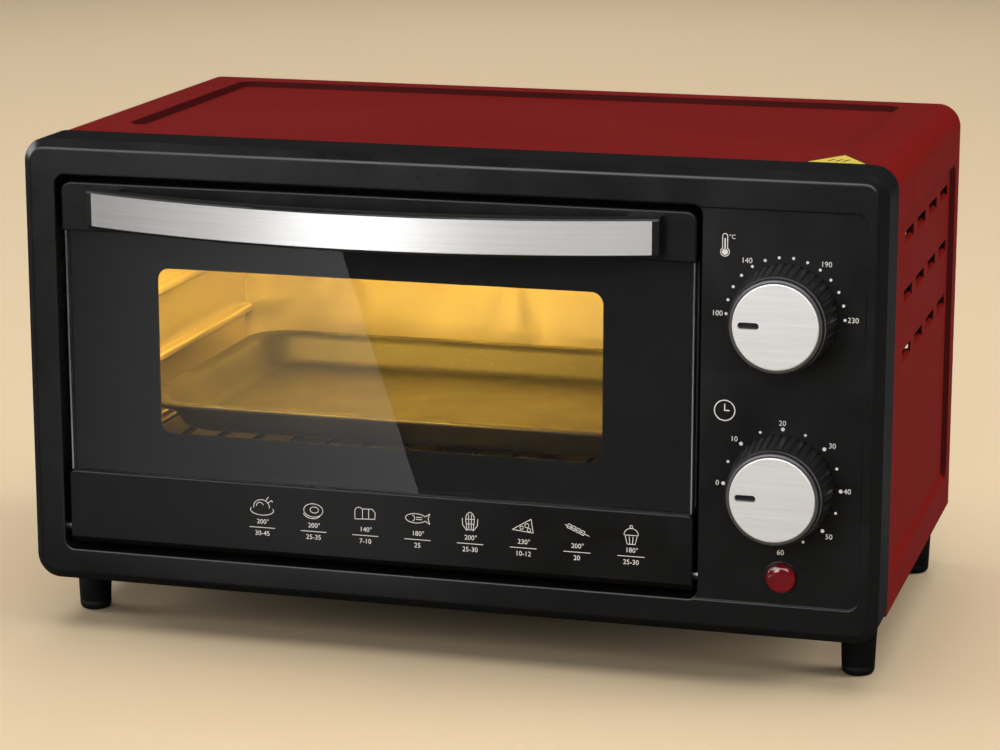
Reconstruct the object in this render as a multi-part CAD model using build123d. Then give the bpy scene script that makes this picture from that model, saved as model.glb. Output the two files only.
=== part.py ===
# Countertop toaster oven, 360 mm wide, with a drop-down glass door on the left and a
# control column on the right. Millimetres, +Z up, the front faces -Y, +X is the viewer's right.
# The origin is on the table, under the centre of the oven's bounding box.
#
# Depths are counted backwards from the flat front face of the frame, so a depth of 0 is that face,
# a negative depth stands proud of it, and place() turns a depth into a Y coordinate.
from build123d import *
import math
import os

# ---- driving dimensions ---------------------------------------------------------------------
WIDTH = 360.0            # front frame, side to side
FRAME_BOTTOM = 22.0      # underside of the front frame above the table
FRAME_TOP = 210.5        # top of the front frame above the table
FRAME_DEPTH = 26.0
FRAME_WALL = 2.5
FRAME_FACE = 3.0         # thickness of the frame's front wall
BODY_DEPTH = 207.0       # front face to the rear edge of the housing
HANDLE_REACH = 27.2      # front face to the front of the bowed handle
SPACER_REACH = 218.0     # front face to the tips of the rear wall spacers
FRONT_Y = HANDLE_REACH - (HANDLE_REACH + SPACER_REACH) / 2
SHEET = 1.0              # outer sheet metal
LINER = 0.8              # cavity and tray sheet metal

# door opening in the frame, and the door that hangs in it
OPEN_LEFT, OPEN_RIGHT, OPEN_LOW, OPEN_HIGH = -165.5, 107.3, 36.0, 196.0
DOOR_LEFT, DOOR_RIGHT, DOOR_LOW, DOOR_HIGH = -162.8, 105.2, 39.0, 193.2
DOOR_MID = (DOOR_LEFT + DOOR_RIGHT) / 2
LOW_RAIL_TOP = 70.4
TOP_RAIL_LOW = 172.8
RAIL_DEPTH = 14.0
RAIL_WALL = 2.4
GLASS_FRONT, GLASS_BACK = 2.0, 6.0
GLASS_SIDE_STEP = 1.6    # the glass stands back this far from the rails' ends
GLASS_LAP = 4.6          # how far the glass reaches behind each rail
WINDOW = (-122.7, 66.7, 88.1, 158.1)
WINDOW_CORNER = 5.0
PANEL_BACK = 15.2        # cavity side of the door
HINGE_DEPTH, HINGE_HEIGHT = 7.0, 44.0
PIN_RADIUS = 2.0
RUNNING_GAP = 0.05       # radial clearance of a turning pin or shaft

# handle
HANDLE_LOW, HANDLE_HIGH = 175.2, 191.2
HANDLE_HALF = 120.2
STRIP_HALF = 117.6
STRIP_LOW, STRIP_HIGH = 176.5, 190.0
HANDLE_END_REACH = 7.0   # front of the strip at its two ends
HANDLE_THICK = 7.0
STRIP_THICK = 0.8
HANDLE_SCREW_Z = 183.2
HANDLE_BOW = HANDLE_REACH - HANDLE_END_REACH
HANDLE_RADIUS = (STRIP_HALF ** 2 + HANDLE_BOW ** 2) / (2 * HANDLE_BOW)   # front of the strip

# controls
KNOB_X = 140.6
TEMPERATURE_Z, TIMER_Z = 153.3, 84.7
KNOB_BASE_RADIUS, KNOB_FRONT_RADIUS, CAP_RADIUS = 21.2, 19.2, 17.0
KNOB_REACH = 19.6
SHAFT_RADIUS = 3.0
LAMP_X, LAMP_Z, LAMP_RADIUS = 141.0, 47.6, 6.0
PANEL_RECESS = 0.8
CONTROL_RIGHT, CONTROL_LOW, CONTROL_HIGH = 172.3, 36.3, 195.1

# housing
HOUSING_X = 179.5
HOUSING_LOW, HOUSING_TOP = 27.0, 210.0
HOUSING_CORNER = 10.0
RECESS = 2.2
RECESS_RUN = 3.2         # how far the pressed fields' walls lean inwards on their way down
TOP_RECESS = (-155.0, 155.0, 52.0, 195.0)       # x from, x to, depth from, depth to
SIDE_RECESS = (38.0, 196.0, 42.0, 186.0)        # depth from, depth to, z from, z to
LOUVRE_ROWS = (175.1, 150.4, 125.7)             # middle heights
LOUVRE_DEPTHS = (64.5, 97.7, 130.9, 164.1)      # where each slot starts
LOUVRE_LENGTH, LOUVRE_HEIGHT = 22.5, 5.0

# cavity
CAVITY_LEFT, CAVITY_RIGHT, CAVITY_LOW, CAVITY_TOP = -157.0, 99.0, 56.0, 186.0
CAVITY_FRONT, CAVITY_BACK = 18.0, 200.0
RAIL_LEVELS = (73.6, 104.0, 134.0)              # tops of the rack rails
HEATER_DEPTHS = (72.0, 146.0)
LOWER_HEATER_Z, UPPER_HEATER_Z = 66.6, 175.0
HEATER_RADIUS = 3.25
RACK_Z = 74.0                                   # underside of the wire rack
RACK_WIRE = 2.0                                 # radius of its frame wire
RACK_FRONT = 23.0                               # depth of the middle of its front wire
RACK_TRAVEL = 55.0                              # how far the open door has pulled it
TRAY_Z = 80.2                                   # underside of the baking tray
CRUMB_Z = 56.4
CAVITY_MID = (CAVITY_LEFT + CAVITY_RIGHT) / 2

# feet and base
FOOT_X = 167.5
FOOT_DEPTHS = (34.5, 186.0)
FOOT_TOP = 28.0
FOOT_LOW_RADIUS, FOOT_HIGH_RADIUS = 6.8, 7.8
BASE_HALF = 175.4

# back
GLAND_X, GLAND_Z = 140.0, 50.0
GLAND_BODY, GLAND_BORE = 6.5, 3.6
SPACER_X, SPACER_Z = (-165.0, 165.0), 152.0


# ---- placing and shape helpers --------------------------------------------------------------
def place(depth):
    """Y coordinate of a depth behind the front face."""
    return FRONT_Y + depth


def block(x0, x1, d0, d1, z0, z1):
    """Box between two x, two depths and two heights."""
    middle = ((x0 + x1) / 2, place((d0 + d1) / 2), (z0 + z1) / 2)
    return Pos(*middle) * Box(x1 - x0, d1 - d0, z1 - z0)


def sheet(x0, x1, z0, z1, d0, d1, corner):
    """Upright plate facing the front, with rounded corners."""
    outline = Plane.XZ * RectangleRounded(x1 - x0, z1 - z0, corner)
    return Pos((x0 + x1) / 2, place(d1), (z0 + z1) / 2) * extrude(outline, amount=d1 - d0)


def tray_plate(x0, x1, d0, d1, z0, z1, corner):
    """Lying plate with rounded corners."""
    outline = RectangleRounded(x1 - x0, d1 - d0, corner)
    return Pos((x0 + x1) / 2, place((d0 + d1) / 2), z0) * extrude(outline, amount=z1 - z0)


def rod_x(x0, x1, depth, z, radius):
    return Pos((x0 + x1) / 2, place(depth), z) * Rot(0, 90, 0) * Cylinder(radius, x1 - x0)


def rod_y(d0, d1, x, z, radius):
    return Pos(x, place((d0 + d1) / 2), z) * Rot(90, 0, 0) * Cylinder(radius, d1 - d0)


def cone_y(d0, d1, x, z, front_radius, back_radius):
    """Cone along the depth, front_radius at d0 and back_radius at d1."""
    return Pos(x, place((d0 + d1) / 2), z) * Rot(90, 0, 0) * Cone(back_radius, front_radius, d1 - d0)


def rod_z(z0, z1, x, depth, radius):
    return Pos(x, place(depth), (z0 + z1) / 2) * Cylinder(radius, z1 - z0)


def edges_at_depth(shape, depth):
    """Edges that lie wholly at one depth."""
    y = place(depth)
    return shape.edges().filter_by_position(Axis.Y, y - 0.01, y + 0.01)


def screw_y(x, z, under_head, tip, head_radius=3.0, shank_radius=1.5, head_height=1.8):
    """Pan-head screw along the depth. under_head is the depth its head seats on."""
    way = 1 if tip > under_head else -1
    head_end = under_head - way * head_height
    head = rod_y(min(under_head, head_end), max(under_head, head_end), x, z, head_radius)
    head = fillet(edges_at_depth(head, head_end), head_height * 0.45)
    shank = rod_y(min(under_head, tip), max(under_head, tip), x, z, shank_radius)
    slot_length, slot_width, slot_cut = head_radius * 1.1, 0.7, 0.8
    slot_low, slot_high = sorted((head_end, head_end + way * slot_cut))
    cross = block(x - slot_length / 2, x + slot_length / 2, slot_low, slot_high,
                  z - slot_width / 2, z + slot_width / 2)
    cross += block(x - slot_width / 2, x + slot_width / 2, slot_low, slot_high,
                   z - slot_length / 2, z + slot_length / 2)
    return head + shank - cross


# ---- front frame ----------------------------------------------------------------------------
def front_frame():
    half = WIDTH / 2
    body = sheet(-half, half, FRAME_BOTTOM, FRAME_TOP, 0, FRAME_DEPTH, 10)
    body = chamfer(edges_at_depth(body, 0), 3.6)
    body = fillet(edges_at_depth(body, 0), 1.6)
    body -= sheet(-half + FRAME_WALL, half - FRAME_WALL, FRAME_BOTTOM + FRAME_WALL,
                  FRAME_TOP - FRAME_WALL, FRAME_FACE + 0.8, FRAME_DEPTH + 1, 7.5)
    # sleeve round the door opening
    sleeve = 2.0
    body += sheet(OPEN_LEFT - sleeve, OPEN_RIGHT + sleeve, OPEN_LOW - sleeve, OPEN_HIGH + sleeve,
                  FRAME_FACE - 1, 17, 6)
    opening = sheet(OPEN_LEFT, OPEN_RIGHT, OPEN_LOW, OPEN_HIGH, -1, FRAME_DEPTH + 1, 4)
    body -= opening
    front = [e for e in edges_at_depth(body, 0)
             if abs(e.center().X - (OPEN_LEFT + OPEN_RIGHT) / 2) < (OPEN_RIGHT - OPEN_LEFT) / 2 + 0.5
             and OPEN_LOW - 0.5 < e.center().Z < OPEN_HIGH + 0.5]
    body = fillet(front, 0.7)
    # control column: a shallow recess with holes for the shafts and the lamp
    recess = sheet(OPEN_RIGHT - 8, CONTROL_RIGHT, CONTROL_LOW, CONTROL_HIGH, -1, PANEL_RECESS, 5)
    body -= recess
    recess_rim = [e for e in edges_at_depth(body, 0)
                  if OPEN_RIGHT + 1 < e.center().X < CONTROL_RIGHT + 1
                  and CONTROL_LOW - 1 < e.center().Z < CONTROL_HIGH + 1]
    body = fillet(recess_rim, PANEL_RECESS * 0.6)
    for z in (TEMPERATURE_Z, TIMER_Z):
        body -= rod_y(-1, 8, KNOB_X, z, 6.2)
    body -= rod_y(-1, 8, LAMP_X, LAMP_Z, 5.2)
    for x0, x1 in ((OPEN_LEFT - 4, OPEN_LEFT + 1), (OPEN_RIGHT - 1, OPEN_RIGHT + 4)):
        body -= rod_x(x0, x1, HINGE_DEPTH, HINGE_HEIGHT, PIN_RADIUS)
    return body


def hinge_pins():
    """One steel pin a side, pressed through the sleeve of the frame into a small bracket."""
    reach = 8.0
    left = rod_x(OPEN_LEFT - 5.5, DOOR_LEFT + reach, HINGE_DEPTH, HINGE_HEIGHT, PIN_RADIUS)
    right = rod_x(DOOR_RIGHT - reach, OPEN_RIGHT + 5.5, HINGE_DEPTH, HINGE_HEIGHT, PIN_RADIUS)
    return {"hinge_pin_left": left, "hinge_pin_right": right}


def hinge_brackets():
    made = {}
    for name, x in (("hinge_bracket_left", OPEN_LEFT - 5), ("hinge_bracket_right", OPEN_RIGHT + 2)):
        plate = block(x, x + 3, 4.2, 17, 37.5, 60)
        plate = fillet(plate.edges().filter_by(Axis.X), 2)
        made[name] = plate - rod_x(x - 1, x + 4, HINGE_DEPTH, HINGE_HEIGHT, PIN_RADIUS)
    return made


# ---- housing, base and back ----------------------------------------------------------------
def housing_block(inset, d0, d1, low):
    """Solid arch: square at the bottom, rounded at the two top corners."""
    half, top, corner = HOUSING_X - inset, HOUSING_TOP - inset, HOUSING_CORNER - inset
    outline = Rectangle(2 * half, top - low)
    outline = fillet(outline.vertices().group_by(Axis.Y)[-1], corner)
    solid = extrude(Plane.XZ * outline, amount=d1 - d0)
    return Pos(0, place(d1), (top + low) / 2) * solid


def pressed_field(width, height, corner, grow):
    """Tool that presses a field RECESS deep into the XY plane, with leaning walls. grow widens it
    for the inner face of the sheet, so that the walls keep their thickness."""
    outline = RectangleRounded(width + 2 * grow, height + 2 * grow, corner + grow)
    lean = math.degrees(math.atan2(RECESS_RUN, RECESS))
    sunk = extrude(Plane((0, 0, 0), z_dir=(0, 0, -1)) * outline, amount=RECESS, taper=lean)
    return sunk + extrude(outline, amount=2)


def recess_pockets(inset):
    """The three pressed-in fields: top, right and left, for the outer face or, inset, the inner."""
    slant = math.hypot(RECESS, RECESS_RUN)
    grow = inset * (slant - RECESS_RUN) / RECESS
    x0, x1, d0, d1 = TOP_RECESS
    top = Pos((x0 + x1) / 2, place((d0 + d1) / 2), HOUSING_TOP - inset) * pressed_field(
        x1 - x0, d1 - d0, 7, grow)
    side_d0, side_d1, z0, z1 = SIDE_RECESS
    upright = Plane(origin=(HOUSING_X - inset, place((side_d0 + side_d1) / 2), (z0 + z1) / 2),
                    x_dir=(0, 1, 0), z_dir=(1, 0, 0))
    right = upright * pressed_field(side_d1 - side_d0, z1 - z0, 7, grow)
    return top, right, mirror(right, Plane.YZ)


def outer_housing():
    shell = housing_block(0, FRAME_DEPTH, BODY_DEPTH, HOUSING_LOW)
    for pocket in recess_pockets(0):
        shell -= pocket
    inside = housing_block(SHEET, FRAME_DEPTH - 1, BODY_DEPTH + 1, HOUSING_LOW - 1)
    for pocket in recess_pockets(SHEET):
        inside -= pocket
    shell -= inside
    # bottom flanges between the feet, and a rear flange that takes the back panel's screws
    for side in (-1, 1):
        inner, outer = sorted((side * 167.0, side * (HOUSING_X - SHEET / 2)))
        shell += block(inner, outer, 46, 172, HOUSING_LOW, HOUSING_LOW + SHEET)
        inner, outer = sorted((side * 168.0, side * (HOUSING_X - SHEET / 2)))
        shell += block(inner, outer, BODY_DEPTH - 2, BODY_DEPTH - 1, 32, 196)
    shell += block(-165, 165, BODY_DEPTH - 2, BODY_DEPTH - 1, 199, HOUSING_TOP - SHEET / 2)
    # pressed louvres beside the controls
    floor_x = HOUSING_X - RECESS
    for z in LOUVRE_ROWS:
        low, high = z - LOUVRE_HEIGHT / 2, z + LOUVRE_HEIGHT / 2
        for start in LOUVRE_DEPTHS:
            stop = start + LOUVRE_LENGTH
            shell -= block(floor_x - SHEET - 1, floor_x + 1, start, stop, low, high)
            flap = Polyline((floor_x, low - 0.6), (floor_x, low), (floor_x - 1.8, low + 1.3),
                            (floor_x - 2.6, low + 0.6), (floor_x - SHEET, low - 0.6), close=True)
            solid = extrude(Plane.XZ * make_face(flap), amount=LOUVRE_LENGTH)
            shell += Pos(0, place(stop), 0) * solid
    for x, z in rear_screw_places():
        shell -= rod_y(BODY_DEPTH - 4, BODY_DEPTH + 1, x, z, 1.5)
    return shell


def rear_screw_places():
    sides = [(side * 172.5, z) for side in (-1, 1) for z in (48.0, 118.0, 188.0)]
    return sides + [(side * 90.0, 203.5) for side in (-1, 1)]


def base_plate():
    low, high = FOOT_TOP, FOOT_TOP + SHEET
    plate = block(-BASE_HALF, BASE_HALF, 6, 203, low, high)
    plate += block(-BASE_HALF, BASE_HALF, 6, 7, low, high + 3.6)
    plate += block(-BASE_HALF + 8, BASE_HALF - 8, 202, 203, low, high + 9)
    for x in range(-140, 141, 28):
        for depth in (52, 152):
            plate -= tray_plate(x - 2, x + 2, depth - 16, depth + 16, low - 1, high + 1, 1.9)
    for side in (-1, 1):
        for depth in FOOT_DEPTHS:
            plate -= rod_z(low - 1, high + 1, side * FOOT_X, depth, 1.7)
    return plate


def rear_panel():
    d0, d1 = BODY_DEPTH - 1, BODY_DEPTH
    half, top, low = HOUSING_X - SHEET - 0.3, HOUSING_TOP - SHEET - 0.3, 29.2
    outline = Rectangle(2 * half, top - low)
    outline = fillet(outline.vertices().group_by(Axis.Y)[-1], HOUSING_CORNER - SHEET - 0.3)
    outline = fillet(outline.vertices().group_by(Axis.Y)[0], 3)
    panel = Pos(0, place(d1), (top + low) / 2) * extrude(Plane.XZ * outline, amount=d1 - d0)
    # raised field behind the cavity
    raised = 3.0
    field = sheet(-150, 92, 52, 190, d0, d1 + raised, 10)
    field = fillet(edges_at_depth(field, d1 + raised), 2)
    hollow = sheet(-149, 91, 53, 189, d0 - 1, d0 + raised, 9)
    panel = panel + field - hollow
    # cooling slots behind the controls, and two rows across the raised field
    for z in range(100, 181, 10):
        panel -= sheet(112, 160, z - 2, z + 2, d0 - 1, d1 + 1, 1.9)
    for x in range(-134, 77, 16):
        for z in (76, 166):
            panel -= sheet(x - 2, x + 2, z - 10, z + 10, d0 - 1, d1 + raised + 1, 1.9)
    panel -= rod_y(d0 - 1, d1 + 1, GLAND_X, GLAND_Z, GLAND_BODY)
    for x, z in rear_screw_places():
        panel -= rod_y(d0 - 1, d1 + 1, x, z, 1.6)
    for x in SPACER_X:
        panel -= rod_y(d0 - 1, d1 + 1, x, SPACER_Z, 3)
    return panel


def cord_gland():
    """Two-part cable bushing in the back panel, open for a 7 mm lead."""
    body = rod_y(197, 214, GLAND_X, GLAND_Z, GLAND_BODY)
    body += rod_y(BODY_DEPTH, 210, GLAND_X, GLAND_Z, 9.5)
    nut = Plane.XZ * RegularPolygon(9.5, 6)
    body += Pos(GLAND_X, place(BODY_DEPTH - 1), GLAND_Z) * extrude(nut, amount=5)
    body = fillet(edges_at_depth(body, 214), 1.2)
    return body - rod_y(190, 220, GLAND_X, GLAND_Z, GLAND_BORE)


def wall_spacers():
    made = {}
    for name, x in zip(("wall_spacer_left", "wall_spacer_right"), SPACER_X):
        body = cone_y(BODY_DEPTH, SPACER_REACH, x, SPACER_Z, 8.5, 6.5)
        body = fillet(edges_at_depth(body, SPACER_REACH), 1.5)
        made[name] = body + rod_y(BODY_DEPTH - 5, BODY_DEPTH, x, SPACER_Z, 3)
    return made


def feet():
    made = {}
    for side_name, side in (("left", -1), ("right", 1)):
        for end_name, depth in zip(("front", "rear"), FOOT_DEPTHS):
            foot = Pos(side * FOOT_X, place(depth), FOOT_TOP / 2) * Cone(
                FOOT_LOW_RADIUS, FOOT_HIGH_RADIUS, FOOT_TOP)
            foot = fillet(foot.edges().group_by(Axis.Z)[0], 1.8)
            foot -= rod_z(FOOT_TOP - 12, FOOT_TOP + 1, side * FOOT_X, depth, 1.5)
            made[f"foot_{end_name}_{side_name}"] = foot
    return made


def foot_screws():
    """Four screws down through the base plate into the feet."""
    screws = []
    for side in (-1, 1):
        for depth in FOOT_DEPTHS:
            x = side * FOOT_X
            head = rod_z(FOOT_TOP + SHEET, FOOT_TOP + SHEET + 1.8, x, depth, 3)
            head = fillet(head.edges().group_by(Axis.Z)[-1], 0.8)
            screws.append(head + rod_z(FOOT_TOP - 10, FOOT_TOP + SHEET, x, depth, 1.5))
    return Compound(children=screws)


# ---- cavity ---------------------------------------------------------------------------------
def inner_cavity():
    left, right, low, top = CAVITY_LEFT, CAVITY_RIGHT, CAVITY_LOW, CAVITY_TOP
    body = block(left - LINER, right + LINER, CAVITY_FRONT, CAVITY_BACK + LINER, low - LINER, top + LINER)
    body += sheet(OPEN_LEFT - 1.9, OPEN_RIGHT + 1.9, OPEN_LOW - 1.9, OPEN_HIGH + 1.9,
                  CAVITY_FRONT - LINER, CAVITY_FRONT, 3)
    body -= block(left, right, CAVITY_FRONT - 2, CAVITY_BACK, low, top)
    for z in RAIL_LEVELS:
        for x0, x1 in ((left - 0.4, left + 5), (right - 5, right + 0.4)):
            rail = block(x0, x1, 24, 196, z - 4, z)
            edge = rail.edges().filter_by(Axis.Y).group_by(Axis.X)[-1 if x0 < 0 else 0]
            body += fillet(edge, 1.4)
    for depth in HEATER_DEPTHS:
        for z in (LOWER_HEATER_Z, UPPER_HEATER_Z):
            # holes for the insulators, which also notch the lowest rack rail
            body -= rod_x(left - 3, left + 6, depth, z, 5.2)
            body -= rod_x(right - 6, right + 3, depth, z, 5.2)
    return body


def heaters():
    """Four sheathed rods across the cavity, each with a terminal pin at both ends."""
    made = {}
    for level, z in (("upper", UPPER_HEATER_Z), ("lower", LOWER_HEATER_Z)):
        for end, depth in zip(("front", "rear"), HEATER_DEPTHS):
            rod = rod_x(CAVITY_LEFT - 12, CAVITY_RIGHT + 12, depth, z, HEATER_RADIUS)
            rod += rod_x(CAVITY_LEFT - 16, CAVITY_RIGHT + 16, depth, z, 1.3)
            made[f"{level}_{end}_heater"] = rod
    return made


def heater_insulators():
    rings = []
    for z in (UPPER_HEATER_Z, LOWER_HEATER_Z):
        for depth in HEATER_DEPTHS:
            for wall, way in ((CAVITY_LEFT, -1), (CAVITY_RIGHT, 1)):
                inside, skin = wall - way * 2, wall + way * LINER
                outside = wall + way * 7
                ring = rod_x(min(inside, outside), max(inside, outside), depth, z, 5.0)
                ring += rod_x(min(skin, outside), max(skin, outside), depth, z, 7.0)
                rings.append(ring - rod_x(wall - 20, wall + 20, depth, z, HEATER_RADIUS))
    return Compound(children=rings)


def wire_ring(x0, x1, d0, d1, z, radius, corner):
    """Closed rectangular loop of round wire."""
    path = Pos((x0 + x1) / 2, place((d0 + d1) / 2), z) * RectangleRounded(x1 - x0, d1 - d0, corner).wire()
    start = path.edges().filter_by(Axis.X)[0]
    plane = Plane(origin=start @ 0.5, z_dir=start % 0.5)
    return sweep(plane * Circle(radius), path=path)


def wire_rack():
    frame_wire, bar_wire = RACK_WIRE, 1.3
    x0, x1, d0, d1 = CAVITY_LEFT + 4, CAVITY_RIGHT - 4, RACK_FRONT, 193.0
    z = RACK_Z + frame_wire
    rack = wire_ring(x0, x1, d0, d1, z, frame_wire, 4.5)
    rack += rod_x(x0, x1, (d0 + d1) / 2, z, 1.6)
    count = 15
    pitch = (x1 - x0 - 20) / (count - 1)
    bar_z = z + frame_wire + bar_wire - 0.7
    for i in range(count):
        rack += rod_y(d0 - 1, d1 + 1, x0 + 10 + i * pitch, bar_z, bar_wire)
    return rack


def baking_tray():
    """Drawn tray with sloping walls and a flat rim."""
    x0, x1, d0, d1 = CAVITY_LEFT + 12, CAVITY_RIGHT - 12, 30.0, 188.0
    depth, slope, rim = 14.0, 7.0, 6.0
    centre = Pos((x0 + x1) / 2, place((d0 + d1) / 2), 0)
    wide, long = x1 - x0 - 2 * rim, d1 - d0 - 2 * rim

    def bowl(z, wall):
        floor_in = slope + wall
        low = Pos(0, 0, z + wall) * RectangleRounded(wide - 2 * floor_in, long - 2 * floor_in, 14)
        high = Pos(0, 0, z + depth) * RectangleRounded(wide - 2 * wall, long - 2 * wall, 16)
        return loft([low.face(), high.face()])

    outer = bowl(TRAY_Z, 0)
    outer += Pos(0, 0, TRAY_Z + depth - LINER) * extrude(RectangleRounded(x1 - x0, d1 - d0, 20), amount=LINER)
    hollow = bowl(TRAY_Z, LINER)
    return centre * (outer - hollow)


def crumb_tray():
    x0, x1, d0, d1 = CAVITY_LEFT + 2, CAVITY_RIGHT - 2, 20.0, 196.0
    low = CRUMB_Z
    tray = block(x0, x1, d0, d1, low, low + LINER)
    for a, b in ((x0, x0 + LINER), (x1 - LINER, x1)):
        tray += block(a, b, d0, d1, low, low + 3.4)
    tray += block(x0, x1, d1 - LINER, d1, low, low + 3.4)
    tray += block(x0, x1, d0, d0 + LINER, low, low + 5)
    grip = block(CAVITY_MID - 30, CAVITY_MID + 30, d0, d0 + 7, low + 5 - LINER, low + 5)
    return tray + grip


def heat_shield():
    """Folded plate between the hot cavity and the controls."""
    shield = block(120, 120.8, 30, 196, FOOT_TOP + SHEET, 200)
    shield += block(120, 130, 30, 196, FOOT_TOP + SHEET, FOOT_TOP + SHEET + LINER)
    shield += block(120, 130, 30, 196, 200 - LINER, 200)
    for z in range(60, 171, 22):
        shield -= block(118, 122, 60, 90, z - 1.5, z + 1.5)
    return shield


# ---- door -----------------------------------------------------------------------------------
def glass_room():
    """Space the glass takes behind the rails, with a little clearance."""
    gap = 0.1
    return block(DOOR_LEFT + GLASS_SIDE_STEP - gap, DOOR_RIGHT - GLASS_SIDE_STEP + gap,
                 GLASS_FRONT - gap, GLASS_BACK + 0.9,
                 LOW_RAIL_TOP - GLASS_LAP - gap, TOP_RAIL_LOW + GLASS_LAP + gap)


def door_top_rail():
    rail = sheet(DOOR_LEFT, DOOR_RIGHT, TOP_RAIL_LOW - 8, DOOR_HIGH, 0, RAIL_DEPTH, 4.5)
    rail -= block(DOOR_LEFT - 1, DOOR_RIGHT + 1, -1, RAIL_DEPTH + 1, TOP_RAIL_LOW - 9, TOP_RAIL_LOW)
    rail = fillet(edges_at_depth(rail, 0), 0.8)
    rail -= block(DOOR_LEFT + RAIL_WALL, DOOR_RIGHT - RAIL_WALL, RAIL_WALL, RAIL_DEPTH + 1,
                  TOP_RAIL_LOW + RAIL_WALL, DOOR_HIGH - RAIL_WALL)
    rail -= glass_room()
    for x in handle_screw_places():
        rail -= rod_y(-1, RAIL_WALL + 1, x, HANDLE_SCREW_Z, 1.7)
    return rail


def door_bottom_rail():
    rail = sheet(DOOR_LEFT, DOOR_RIGHT, DOOR_LOW - 8, LOW_RAIL_TOP, 0, RAIL_DEPTH, 2.5)
    rail -= block(DOOR_LEFT - 1, DOOR_RIGHT + 1, -1, RAIL_DEPTH + 1, DOOR_LOW - 9, DOOR_LOW)
    bottom_front = [e for e in edges_at_depth(rail, 0) if e.center().Z < DOOR_LOW + 0.1]
    rail = chamfer(bottom_front, 2.8)
    upper = [e for e in edges_at_depth(rail, 0) if e.center().Z > DOOR_LOW + 3]
    rail = fillet(upper, 0.7)
    # hollow between two solid ends that carry the hinge bores
    end = 13.0
    rail -= block(DOOR_LEFT + end, DOOR_RIGHT - end, RAIL_WALL, RAIL_DEPTH + 1,
                  DOOR_LOW + 3.6, LOW_RAIL_TOP - RAIL_WALL)
    rail -= glass_room()
    for x0, x1 in ((DOOR_LEFT - 1, DOOR_LEFT + 9), (DOOR_RIGHT - 9, DOOR_RIGHT + 1)):
        rail -= rod_x(x0, x1, HINGE_DEPTH, HINGE_HEIGHT, PIN_RADIUS + RUNNING_GAP)
    for x, z in panel_screw_places():
        rail -= rod_y(RAIL_DEPTH - 5, RAIL_DEPTH + 1, x, z, 1.5)
    return rail


def door_glass():
    glass = block(DOOR_LEFT + GLASS_SIDE_STEP, DOOR_RIGHT - GLASS_SIDE_STEP, GLASS_FRONT, GLASS_BACK,
                  LOW_RAIL_TOP - GLASS_LAP, TOP_RAIL_LOW + GLASS_LAP)
    return chamfer(glass.edges(), 0.35)


def glass_mask():
    """Blackened steel mask behind the glass that leaves the window clear."""
    mask = block(DOOR_LEFT + GLASS_SIDE_STEP, DOOR_RIGHT - GLASS_SIDE_STEP, GLASS_BACK + 0.05,
                 GLASS_BACK + 0.75, LOW_RAIL_TOP - GLASS_LAP, TOP_RAIL_LOW + GLASS_LAP)
    x0, x1, z0, z1 = WINDOW
    return mask - sheet(x0, x1, z0, z1, 0, 20, WINDOW_CORNER)


def door_inner_panel():
    """Pressed steel panel on the cavity side, with a collar round the window."""
    front, back = RAIL_DEPTH + 0.2, PANEL_BACK
    panel = sheet(DOOR_LEFT + 1.8, DOOR_RIGHT - 1.8, 41, 191.2, front, back, 4)
    x0, x1, z0, z1 = WINDOW
    grow = 5.0
    collar_front = GLASS_BACK + 1.0
    panel += sheet(x0 - grow - 1, x1 + grow + 1, z0 - grow - 1, z1 + grow + 1, collar_front, back, 10)
    panel -= sheet(x0 - grow, x1 + grow, z0 - grow, z1 + grow, 0, 20, 9)
    for a, b in ((DOOR_LEFT + 2.2, DOOR_LEFT + 3.2), (DOOR_RIGHT - 3.2, DOOR_RIGHT - 2.2)):
        panel += block(a, b, collar_front, back, LOW_RAIL_TOP + 0.4, TOP_RAIL_LOW - 0.4)
    for x, z in panel_screw_places():
        panel -= rod_y(front - 1, back + 1, x, z, 1.6)
    return panel


def rack_wire_seen_from_door(angle):
    """Where the rack's front wire sits in the door's own frame when the door stands at angle
    degrees: behind the hinge, then above it."""
    turn = math.radians(angle)
    behind = RACK_FRONT - HINGE_DEPTH - RACK_TRAVEL * angle / 90
    above = RACK_Z + RACK_WIRE - HINGE_HEIGHT
    return (behind * math.cos(turn) + above * math.sin(turn),
            above * math.cos(turn) - behind * math.sin(turn))


def rack_pull_arms():
    """Slotted arm each side of the door. The rack's front wire runs in the slot, so the rack
    comes forward as the door drops."""
    steps = [rack_wire_seen_from_door(angle) for angle in range(-6, 97, 6)]
    slot = extrude(trace(Polyline(*steps), line_width=2 * RACK_WIRE + 1.4), amount=6, both=True)
    reach = PANEL_BACK - HINGE_DEPTH
    plate = Polyline((reach, 20), (22, 22), (42, 31), (42, 46), (30, 46), (18, 41), (reach, 41), close=True)
    solid = extrude(make_face(plate), amount=0.6, both=True)
    solid = fillet(solid.edges().filter_by(Axis.Z).group_by(Axis.X)[-1], 4)
    solid -= slot
    solid += Pos(reach + 0.5, 30.5, -2.0) * Box(1.0, 21, 5.2)
    # the sketch lies in depth and height, and is stood up across the oven
    stood = Plane(origin=(0, 0, 0), x_dir=(0, 1, 0), z_dir=(1, 0, 0)) * solid
    made = {}
    for name, x in (("rack_arm_left", CAVITY_LEFT + 9.4), ("rack_arm_right", CAVITY_RIGHT - 9.4)):
        arm = stood if name == "rack_arm_left" else mirror(stood, Plane.YZ)
        made[name] = Pos(x, place(HINGE_DEPTH), HINGE_HEIGHT) * arm
    return made


def panel_screw_places():
    xs = (DOOR_LEFT + 7, DOOR_RIGHT - 7)
    return [(x, 50.0) for x in xs]


def door_panel_screws():
    return Compound(children=[screw_y(x, z, PANEL_BACK, RAIL_DEPTH - 5, head_radius=2.6, head_height=1.0)
                              for x, z in panel_screw_places()])


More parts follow.
